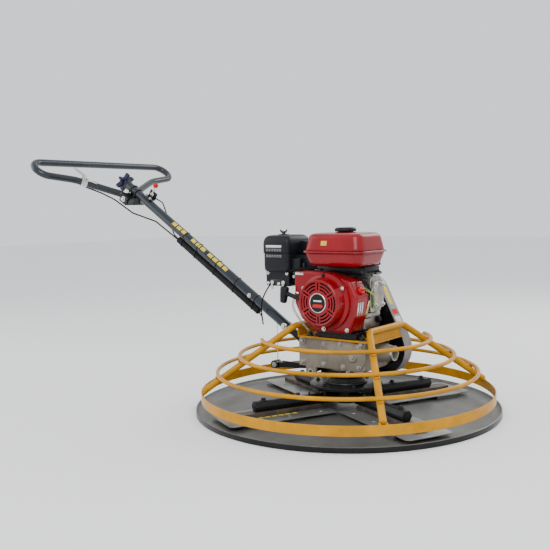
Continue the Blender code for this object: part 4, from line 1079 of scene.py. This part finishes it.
def make_starter_cover():
    """The recoil starter's cover: a dished face with three rings of slots, and louvres round its wall."""
    cup = mm(
        (89.5, -0.3), (89.5, -4.8), (88.6, -6), (80, -6.6), (78.2, -7.8), (77.5, -10), (73.3, -38.5),
        (72.2, -41.2), (70, -42.8), (67.8, -42.9), (66, -42), (64.8, -40.9), (0, -40.9), (0, -38.8),
        (68.8, -38.8), (70.9, -37.5), (75.5, -6), (75.5, -0.3),
    )
    cover = lathe(cup, 120)
    cutters = []
    for sector in range(6):
        middle = radians(60 * sector)
        for radius, half in ((0.042, 17.0), (0.052, 19.5), (0.0615, 20.5)):
            outline = arc_slot(radius, 0.0046, middle - radians(half), middle + radians(half))
            cutters.append(plate(outline, -0.05, -0.03))
        edge = middle + radians(30)
        slot_ends = [Vector(polar(reach, -edge)) for reach in (0.042, 0.061)]
        cutters.append(plate(capsule(slot_ends[0], slot_ends[1] * 1.0001, 0.00231, 6, 0.0023), -0.05, -0.03))
    groups = ((2, 17), (-17, -2), (38, 68), (-66, -34), (112, 142), (163, 178), (182, 197), (-146, -114))
    for first, last in groups:
        for level in (-0.0145, -0.0198, -0.0251, -0.0304):
            span = [radians(first + (last - first) * step / 8) for step in range(9)]
            outline = [polar(0.085, angle) for angle in span] + [
                polar(0.07, angle)
                for angle in reversed(span)
            ]
            cutters.append(plate(outline, level - 0.0013, level + 0.0013))
    place = along_y(CRANK.x, SHROUD_FRONT, CRANK.z)
    cover = carve(cover, join(*cutters))
    bosses, heads = [], []
    for angle in (33, 152, -89, -150):
        x, y = polar(0.083, radians(angle))
        boss = lathe(mm((0, 0), (7.2, 0), (6.6, -6.5), (6, -7.2), (0, -7.2)), 28)
        bosses.append(placed(boss, at(x, y, -0.005)))
        heads += bolts(0.0082, (0, 0, -1), [(x, y, -0.0122)])
    piece("starter_cover", placed(join(cover, *bosses), place), "red", angle=30, stands_for=["recoil_cover"])
    piece("starter_bolts", placed(join(*heads), place), "steel")
    x, y = polar(0.083, radians(92))
    piece("starter_top_screw", placed(bolt(0.008), place @ along((x, y, -0.0062), (0, 0, -1))), "dark_steel")
    badge = lathe(mm((0, -42.5), (28, -42.5), (29, -41.8), (29, -40.5), (0, -40.5)), 72)
    piece("starter_badge", placed(badge, place), "black")
    rim = mm((27.8, -41.2), (30.8, -41.2), (30.8, -42.4), (29.8, -43.2), (28.8, -43.2), (27.8, -42.6))
    piece("starter_badge_rim", placed(lathe(rim, 72), place), "steel")
    upper = plate(capsule((-0.013, -0.0065), (0.013, -0.0065001), 0.0025, 6, 0.00249), -0.0431, -0.042)
    piece("starter_badge_bar", placed(upper, place), "mark_white")
    lower = plate(capsule((-0.014, 0.009), (0.014, 0.0090001), 0.0052, 6, 0.00519), -0.0431, -0.042)
    piece("starter_badge_mark", placed(lower, place), "mark_red")


def make_grip():
    """The pull handle of the starter: a flattened grip on a sleeve that the rope comes out of."""
    centre = Vector((-0.139, -0.1425, 0.377))
    sections = []
    for height, wide, deep in mm(
        (-26, 8, 7), (-24.5, 9.8, 8.8), (-20, 10.8, 9.8), (0, 12.5, 11.2), (18, 13.7, 12),
        (23.5, 13.2, 11.2), (26, 10.8, 8.8),
    ):
        ring = []
        for step in range(32):
            across, deeper = on_circle(1, 2 * pi * step / 32)
            squared = (abs(across) ** 3 + abs(deeper) ** 3) ** (-1 / 3)
            ring.append((wide * across * squared, deep * deeper * squared, height))
        sections.append(ring)
    grip = placed(loft(sections), Matrix.Translation(centre) @ turned(8, "Y"))
    profile = [(0, 0.004), (0.0078, 0.004), (0.0076, 0.02)]
    for step in range(5):
        start = 0.022 + 0.006 * step
        profile += [
            (0.0073, start), (0.0073, start + 0.0025), (0.0064, start + 0.0035), (0.0064, start + 0.005)
        ]
    profile += mm((6.2, 54), (6.6, 68), (5.5, 70), (0, 70))
    sleeve = placed(lathe(profile, 28), along(centre + Vector((0, 0, 0.008)), (0.067, 0, -0.02)))
    piece("pull_grip", join(grip, sleeve), "plastic", "starter_grip", angle=45, stands_for=["recoil_grip"])


def make_switch():
    """The red engine switch on the shroud's slanted face, and its wires."""
    upper, lower = (Vector((x, 0, z)) for x, z in SHROUD_CORNERS[2:4])
    facing = Vector((upper.z - lower.z, 0, lower.x - upper.x)).normalized()
    middle = CRANK + upper.lerp(lower, 0.62) + Vector((0, -0.092, 0))
    place = along(middle + facing * 0.0003, facing)
    body = mm((0, 0), (13.2, 0), (13.5, 1), (12.8, 8), (11.2, 9.8), (0, 10.2))
    body = lathe(body, 48, wave=0.00035, waves=24, wave_from=0.0125)
    bar = block((-0.0118, -0.0032, 0.008), (0.0118, 0.0032, 0.0158), 0.0012)
    piece("key_switch", placed(join(body, bar), place), "ball_red", "switch", stands_for=["engine_switch"])
    start = middle + Vector((0.004, 0.02, 0.01))
    wire = [
        start, (0.128, -0.058, 0.392), (0.133, -0.046, 0.372), (0.129, -0.04, 0.352), (0.122, -0.032, 0.338)
    ]
    piece("switch_wire", curve(wire, 0.0016, 10), "wire_green")
    start = middle + Vector((0.006, 0.024, 0.0))
    wire = [start, (0.134, -0.05, 0.384), (0.136, -0.036, 0.366), (0.131, -0.034, 0.345)]
    piece("coil_wire", curve(wire, 0.0014, 10), "wire_yellow")


def make_tank():
    """The fuel tank's two pressings, the rolled flange between them, its label and its cap."""
    low, high = Vector((-0.078, -0.13)), Vector((0.138, 0.04))
    flange = 0.515

    def corner(inset):
        return max(0.012, 0.032 - inset * 0.35)

    steps = mm(
        (60, 468.2), (34, 468.2), (24, 469.2), (16.5, 472.3), (11.5, 477), (9, 482.5), (4.5, 498),
        (0.3, 510), (0.3, 512.5),
    )
    lower = loft(stacked(low, high, steps, corner))
    piece("tank_lower", lower, "red", levels=1, angle=60, stands_for=["fuel_tank"])
    steps = mm(
        (0.3, 514.5), (0.3, 517), (3.5, 533), (6.5, 548), (9.2, 561), (12.5, 566.8), (18, 570.6),
        (26.5, 572.6), (40, 573.4),
    )
    upper = stacked(low, high, steps, corner)
    neck_centre = (0.034, -0.045)
    for radius, height in ((0.031, 0.574), (0.027, 0.5746), (0.025, 0.576)):
        upper.append(circle_section(neck_centre, radius, height, len(upper[0])))
    piece("tank_upper", loft(upper), "red", levels=1, angle=60)
    rim = stacked(low, high, [(-0.003, flange - 0.0008)], corner)[0]
    piece("tank_flange", sweep(rim, 0.0031, 14, closed=True), "red", angle=70)
    label = block((0.001, -0.0011, -0.0072), (0.0215, 0.0011, 0.0072), 0.0004)
    place = at(-0.006, low.y + 0.0052, 0.542) @ turned(-13, "X")
    piece("tank_label", placed(label, place), "mark_yellow")
    rows = [
        block((0.0035, -0.0013, z - 0.0008), (0.019, 0.0, z + 0.0008))
        for z in (-0.004, -0.001, 0.002, 0.005)
    ]
    piece("tank_label_rows", placed(join(*rows), place), "mark_ochre")

    cap = mm(
        (0, 574), (19, 574), (19.2, 576.4), (32.2, 576.4), (33.2, 577.6), (33.6, 581), (33, 585),
        (31.2, 587.4), (28, 588.7), (24.5, 589), (23.5, 588), (12, 588.2), (10.5, 589.2), (0, 589.4),
    )
    cap = lathe(cap, 144, wave=0.0004, waves=36, wave_from=0.033)
    cap = placed(cap, at(*neck_centre, 0))
    piece("filler_cap", cap, "plastic", "tank_cap", stands_for=["fuel_cap"])


def make_air_cleaner():
    """The air box with its lid, wing nut and clip, and the plain plates on its face."""
    low, high = Vector((-0.27, -0.092)), Vector((-0.158, 0.04))

    def corner(_):
        return 0.016

    steps = mm(
        (30, 446.2), (7.5, 446.2), (4.5, 447.5), (2.8, 451), (2.2, 464), (2.2, 505), (1.2, 505.5),
        (0.2, 506.2), (0.2, 508.5),
    )
    piece(
        "air_box",
        loft(stacked(low, high, steps, corner, 6)),
        "plastic",
        angle=50,
        stands_for=["air_cleaner"],
    )
    steps = mm(
        (1.6, 508.8), (0.2, 509.4), (0.3, 538), (2, 548), (4.2, 554.5), (8, 560), (13.5, 563.2),
        (20, 564.5), (42, 564.9),
    )
    neck = block((high.x - 0.006, -0.0195, 0.5005), (-0.088, 0.0155, 0.5445), 0.005, 3)
    piece("air_box_lid", join(loft(stacked(low, high, steps, corner, 6)), neck), "plastic", angle=50)
    disc = mm((0, 0), (18.5, 0), (19, 1), (17.5, 2.2), (6, 3), (6, 5), (0, 5))
    hub = lathe(mm((0, 0), (5.2, 0), (4.5, 8.5), (0, 8.5)), 20)
    nut = [lathe(disc, 40), placed(hub, at(0, 0, 0.004))]
    for way in (-1, 1):
        path = [(way * reach, 0, height) for reach, height in mm((3, 6), (7, 9.8), (10.5, 15), (11, 17.5))]
        wing = sweep(path, [0.003, 0.0034, 0.0038, 0.0022], 12, flat=0.5)
        nut.append(placed(wing, turned(25, "Z")))
    piece("wing_nut", placed(join(*nut), at((low.x + high.x) / 2 - 0.004, -0.035, 0.5648)), "dark_steel")
    face = low.y + 0.0002
    left = -0.25
    badge = block((left, face - 0.0008, 0.5246), (-0.186, face + 0.001, 0.5324), 0.0003)
    piece("air_box_plate", badge, "mark_white")
    rows = []
    for height in (0.519, 0.514, 0.499, 0.494):
        for step in range(6):
            start = left + 0.011 * step
            top = (start + 0.0088, face + 0.003, height + 0.0015)
            rows.append(block((start, face - 0.0006, height - 0.0015), top))
    piece("air_box_marks", join(*rows), "mark_grey")
    clip = block((low.x - 0.0001, -0.055, 0.5), (low.x + 0.004, -0.035, 0.518), 0.0008)
    piece("air_box_clip", clip, "steel")


def make_carburettor_details():
    """The screws, linkage, fuel line and float bowl nut round the carburettor."""
    face = -0.075
    spots = [(x, face, z) for x, z in mm((-257, 438), (-178, 438), (-257, 404), (-213, 403))]
    shapes = bolts(0.0065, (0, -1, 0), spots) + bolts(0.011, (0, 0, -1), [(-0.135, -0.028, 0.3702)])
    bowl_ring = lathe(mm((19.5, 0), (22, 0), (22, 3), (19.5, 3)), 36)
    shapes.append(placed(bowl_ring, at(-0.135, -0.028, 0.398)))
    stub = lathe(mm((0, 0), (6.2, 0), (6.2, 10), (5, 11.5), (0, 11.5)), 24)
    shapes.append(placed(stub, along((-0.16, -0.052, 0.428), (0, -1, 0))))
    piece("carburettor_screws", join(*shapes), "steel")
    plates = [
        block((-0.166, -0.06, 0.4405), (-0.092, -0.056, 0.453), 0.001),
        block((-0.128, -0.0585, 0.45), (-0.118, -0.055, 0.474), 0.001),
        block((-0.245, face - 0.0008, 0.3985), (-0.196, face - 0.0002, 0.418), 0.0002),
    ]
    piece("governor_plate", join(*plates), "dark_steel")
    covers = [
        block((-0.1665, -0.05, 0.4462), (-0.072, 0.02, 0.4985), 0.006, 3),
        block((-0.1665, -0.07, 0.4462), (-0.128, -0.048, 0.49), 0.005, 3),
    ]
    piece("intake_cover", join(*covers), "plastic")
    coil = []
    for step in range(34):
        y, z = on_circle(0.003, step * 0.9)
        coil.append((-0.15 + 0.0016 * step, -0.064 + y, 0.447 + z))
    rod = [(-0.152, -0.064, 0.447), (-0.16, -0.062, 0.44), (-0.158, -0.056, 0.431)]
    arm = mm((-96, -64, 447.5), (-80, -57.5, 452), (-50, -50, 453.5), (20, -48, 453.5))
    spring = join(curve(coil, 0.0007, 8, 3), curve(rod, 0.0009, 8, 6), curve(arm, 0.0012, 10))
    piece("governor_spring", spring, "steel")
    hose = mm((-190, -70, 430), (-170, -74, 446), (-120, -68, 456), (-70, -55, 458), (-35, -50, 460.8))
    piece("fuel_hose", curve(hose, 0.0038, 14), "rubber")
    line = mm(
        (-150, -20, 402), (-156, -60, 372), (-148, -88, 335), (-125, -92, 300), (-98, -80, 262),
        (-88, -60, 245.5),
    )
    lines = [placed(curve(line, 0.0015, 10), at(shift, 0, 0)) for shift in (0.0, 0.006)]
    piece("overflow_lines", join(*lines), "wire_tan")
    lower = mm((-262, -50, 400), (-276, -52, 386), (-300, -50, 352), (-318, -40, 312))
    lower += [
        MAST @ Vector(point)
        for point in ((0.165, 0.004, -0.056), (0.185, 0.004, -0.036), (0.208, 0.004, -0.031))
    ]
    piece("throttle_lower_cable", curve(lower, 0.0024), "rubber")


def make_cylinder():
    """The finned barrel and head, the valve cover, and the spark plug with its cap and lead."""
    start, fin, space, count = 0.0883, 0.0022, 0.0042, 5
    near, far, reach = -0.0298, 0.0358, 0.0545
    corners = [(near, -reach, 0), (far, -reach, 0), (far, reach, 0), (near, reach, 0)]
    outline = [(-point.x, point.y) for point in rounded_path(corners, 0.01, 6, closed=True)]
    shapes = []
    x = start
    for _ in range(count):
        stand = at(x, 0.0, 0.378) @ turned(90, "Z") @ turned(90, "X")
        shapes.append(placed(plate(outline, 0, fin, 0.0006), stand))
        x += fin + space
    core = block((start, -0.024, 0.342), (x, 0.03, 0.414), 0.004)
    piece("cylinder_fins", join(core, *shapes), "alloy", stands_for=["cylinder_head"])
    cover = block((x - 0.001, -0.0255, 0.3375), (x + 0.0058, 0.0315, 0.4185), 0.003, 3)
    lip = block((x - 0.0012, -0.028, 0.335), (x + 0.0014, 0.034, 0.421), 0.0006)
    piece("valve_cover", join(cover, lip), "alloy")
    spots = [(x + 0.0056, y, z) for y in (-0.018, 0.024) for z in (0.346, 0.41)]
    heads = bolts(0.008, (1, 0, 0), spots)
    plug_place = along((0.112, -0.029, 0.392), (0.35, -1, 0.25))
    hexagon = bolt(0.016, washer=False, height=0.008)
    body = lathe(mm((0, 6), (5.5, 6), (5, 20), (0, 20)), 24)
    piece("head_bolts", join(*heads, placed(join(hexagon, body), plug_place)), "steel")
    boot = mm((0, 10), (7, 10), (7.8, 12), (7.4, 20), (6.6, 28), (4, 31), (0, 31))
    start = plug_place @ Vector((0, 0, 0.028))
    lead = [
        start, (0.126, -0.064, 0.412), (0.116, -0.074, 0.428), (0.09, -0.068, 0.438), (0.07, -0.058, 0.43)
    ]
    piece("plug_cap", join(placed(lathe(boot, 28), plug_place), curve(lead, 0.0034, 14)), "rubber")
    ribs = [
        block((0.0882, -0.056, 0.306), (0.11, 0.036, 0.3215), 0.004, 3),
        block((0.0882, -0.05, 0.27), (0.104, -0.012, 0.305), 0.004, 3),
    ]
    piece("crankcase_ribs", join(*ribs), "alloy")
    arm = smooth_path(mm((100, -56, 300), (114, -62, 318), (122, -60, 342), (124, -52, 362)))
    radii = [0.0045] * 12 + [0.0034] * (len(arm) - 12)
    piece("governor_arm", sweep(arm, radii, 12, flat=0.5), "brass")
    dip = mm((0, 0), (10, 0), (10.5, 1), (9.5, 12), (6, 15), (0, 15))
    dip = lathe(dip, 36, wave=0.0004, waves=12, wave_from=0.0094)
    piece("oil_dipstick", placed(dip, along((0.088, 0.05, 0.29), (1, 0, 0.2))), "plastic")


def make_muffler():
    """The silencer with its slotted heat screen, and the bracket and bolts that carry the tank."""
    low, high = Vector((-0.06, 0.046)), Vector((0.072, 0.12))

    def corner(inset):
        return min(0.02, 0.034 - inset)

    steps = mm(
        (30, 455.5), (16, 455.5), (8, 457.5), (3.5, 462), (2, 468), (2, 496), (0.3, 497.2), (0.3, 501),
        (2, 502.2), (2, 533), (4, 539), (9, 543), (18, 544.6), (30, 544.8),
    )
    body = loft(stacked(low, high, steps, corner))
    pipe = placed(peg(0.0135, 0.4062, 0.46, 32), at(0.05, 0.066, 0))
    piece("silencer", join(body, pipe), "hot_black", angle=50, stands_for=["muffler"])
    slots = []
    for row in range(4):
        for column in range(2):
            x, z = -0.022 + 0.056 * column, 0.47 + 0.0165 * row
            outline = capsule((x - 0.016, z), (x + 0.016, z + 1e-6), 0.0032, 5, 0.0031)
            slots.append(placed(plate(upright(outline), -0.004, 0.006), along_y(0, 0.118, 0)))
    screen = block((low.x + 0.008, 0.1178, 0.46), (high.x - 0.008, 0.1196, 0.54), 0.0006)
    piece("heat_screen", carve(screen, join(*slots)), "steel")
    strap = mm((75, 44, 462), (100, 30, 452), (128, 10, 444), (132, -30, 446))
    bracket = [
        sweep(strap, 0.0052, 12, flat=0.45),
        block((-0.07, -0.0575, 0.44), (0.112, 0.03, 0.4665), 0.003),
        block((-0.062, -0.055, 0.4046), (0.086, 0.02, 0.441), 0.004),
    ]
    piece("tank_bracket", join(*bracket), "black")
    heads = bolts(0.01, (0, -1, 0), [(x, -0.0575, 0.452) for x in (-0.054, 0.105)])
    piece("tank_bolts", join(*heads), "dark_steel")


def make_case_details():
    """Ribs, studs and the drain plug of the crankcase, and the lugs of its feet."""
    low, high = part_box("crankcase")
    ribs = []
    half, foot = 0.0015, low.z + 0.01
    for step in range(5):
        x = low.x + 0.03 + 0.024 * step
        top = (x + half, high.y + 0.006, high.z - 0.018)
        ribs.append(block((x - half, high.y - 0.001, foot), top, 0.001))
    for y in (-0.03, 0.01, 0.05):
        top = (low.x + 0.001, y + half, high.z - 0.02)
        ribs.append(block((low.x - 0.005, y - half, foot), top, 0.001))
    boss = lathe(mm((13.5, 0), (30, 0), (28, 6), (18, 8), (13.5, 8)), 40)
    ribs.append(placed(boss, along((CRANK.x, high.y - 0.0005, CRANK.z), (0, 1, 0))))
    piece("case_ribs", join(*ribs), "alloy")
    sides, levels = (low.x + 0.012, high.x - 0.012), (low.z + 0.012, high.z - 0.014)
    heads = bolts(0.01, (0, 1, 0), [(x, high.y, z) for x in sides for z in levels])
    heads += bolts(0.014, (-1, 0, 0), [(low.x, 0.03, low.z + 0.016)])
    heads += bolts(0.013, (1, 0, 0), [(high.x, -0.03, low.z + 0.014)])
    piece("case_bolts", join(*heads), "steel")
    foot_low, foot_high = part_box("engine_feet")
    lugs = []
    length, half = 0.014, 0.011
    for start in (foot_low.x - length, foot_high.x):
        for y in (-0.066, 0.06):
            lugs.append(block((start, y - half, 0.2416), (start + length, y + half, 0.25), 0.002))
    piece("foot_lugs", join(*lugs), "black")


def make_belt_guard_details():
    """The belt guard's screws, its lip, and the plain colour marks on its rim."""
    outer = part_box("belt_guard_cover")[1].y
    spots = mm((10, 361), (10, 412), (77, 190), (77, 124), (134, 222), (-10, 235))
    heads = bolts(0.011, (0, 1, 0), [(x, outer, z) for x, z in spots])
    piece("belt_guard_bolts", join(*heads), "steel")
    upper, lower = Vector((CRANK.x, CRANK.z)), Vector((0.077, 0.19))
    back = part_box("belt_guard_cover")[0].y
    lip = [(x, back + 0.004, z) for x, z in capsule(upper, lower, 0.0724, 24, 0.0884)]
    piece("belt_guard_lip", sweep(lip, 0.0012, 10, closed=True), "guard")
    small, large = 0.072, 0.088
    run = lower - upper
    angle = atan2(run.y, run.x) + acos((small - large) / run.length)
    facing = Vector((cos(angle), 0, sin(angle)))
    middle_y = (outer + back) / 2
    first = Vector((upper.x, middle_y, upper.y)) + facing * small
    last = Vector((lower.x, middle_y, lower.y)) + facing * large
    along_rim = (last - first).normalized()
    turn = Matrix((along_rim, facing.cross(along_rim).normalized(), facing)).transposed().to_4x4()
    for colour, start, end, half in (
        ("yellow", 0.02, 0.36, 0.01), ("red", 0.46, 0.56, 0.016), ("white", 0.6, 0.76, 0.016)
    ):
        length = (last - first).length * (end - start)
        mark = block((0, -half, -0.0003), (length, half, 0.0003))
        place = Matrix.Translation(first.lerp(last, start)) @ turn
        piece(f"belt_guard_mark_{colour}", placed(mark, place), f"mark_{colour}")


dress_nodes()
make_blades()
make_pan_edge_shade()
make_arms()
make_hub_details()
make_guard()
make_plate_bolts()
make_gearbox_details()
make_yoke_details()
make_handle()
make_mast_details()
make_knob()
make_controls()
make_shroud()
make_starter_cover()
make_grip()
make_switch()
make_tank()
make_air_cleaner()
make_carburettor_details()
make_cylinder()
make_muffler()
make_case_details()
make_belt_guard_details()


# ---------------------------------------------------------------- floor, light and camera


def make_stage():
    """A pale floor, a soft sky and three lamps."""
    floor_mesh = bpy.data.meshes.new("floor")
    bm = bmesh.new()
    bmesh.ops.create_grid(bm, x_segments=1, y_segments=1, size=14.0)
    bm.to_mesh(floor_mesh)
    bm.free()
    floor = bpy.data.objects.new("floor", floor_mesh)
    floor.location = (0, 0, -0.0004)
    bpy.context.scene.collection.objects.link(floor)
    paper = bpy.data.materials.new("floor paper")
    paper.use_nodes = True
    shader = paper.node_tree.nodes["Principled BSDF"]
    shader.inputs["Base Color"].default_value = (0.9, 0.9, 0.9, 1)
    shader.inputs["Roughness"].default_value = 0.75
    floor_mesh.materials.append(paper)

    world = bpy.data.worlds.new("studio")
    world.use_nodes = True
    sky = world.node_tree.nodes["Background"]
    sky.inputs["Color"].default_value = (0.95, 0.97, 1.0, 1)
    sky.inputs["Strength"].default_value = 1.15
    bpy.context.scene.world = world

    for name, place, aim, size, power in (
        ("key", (1.3, -2.6, 2.6), (0.0, 0.0, 0.3), 2.0, 70),
        ("fill", (-2.8, -1.6, 1.6), (-0.2, 0.0, 0.3), 2.2, 26),
        ("rim", (0.6, 2.6, 2.4), (0.0, 0.0, 0.3), 1.8, 45),
    ):
        lamp = bpy.data.lights.new(name, "AREA")
        lamp.size = size
        lamp.energy = power
        obj = bpy.data.objects.new(name, lamp)
        obj.location = place
        obj.rotation_euler = (Vector(aim) - Vector(place)).to_track_quat("-Z", "Y").to_euler()
        bpy.context.scene.collection.objects.link(obj)


def make_camera():
    """The camera, 0.64 m up, looks at the recoil side from 33 degrees round towards the front."""
    distance, height = 2.5, 0.643
    focal_length, sensor_width = 50.6618, 36
    azimuth, pitch = radians(33.0), radians(4.69)
    yaw, roll = radians(-5.17), radians(1.2)
    across = Vector((cos(yaw), -sin(yaw), 0))
    ahead = Vector((sin(yaw), cos(yaw), 0))
    forward = ahead * cos(pitch) - Vector((0, 0, sin(pitch)))
    upward = ahead * sin(pitch) + Vector((0, 0, cos(pitch)))
    right = across * cos(roll) - upward * sin(roll)
    above = upward * cos(roll) + across * sin(roll)
    turn = Matrix.Rotation(azimuth, 4, "Z")
    axes = Matrix((right, above, -forward)).transposed().to_4x4()
    lens = bpy.data.cameras.new("camera")
    lens.sensor_width = sensor_width
    lens.lens = focal_length
    camera = bpy.data.objects.new("camera", lens)
    camera.matrix_world = turn @ Matrix.Translation((0, -distance, height)) @ axes
    bpy.context.scene.collection.objects.link(camera)
    bpy.context.scene.camera = camera


make_stage()
make_camera()
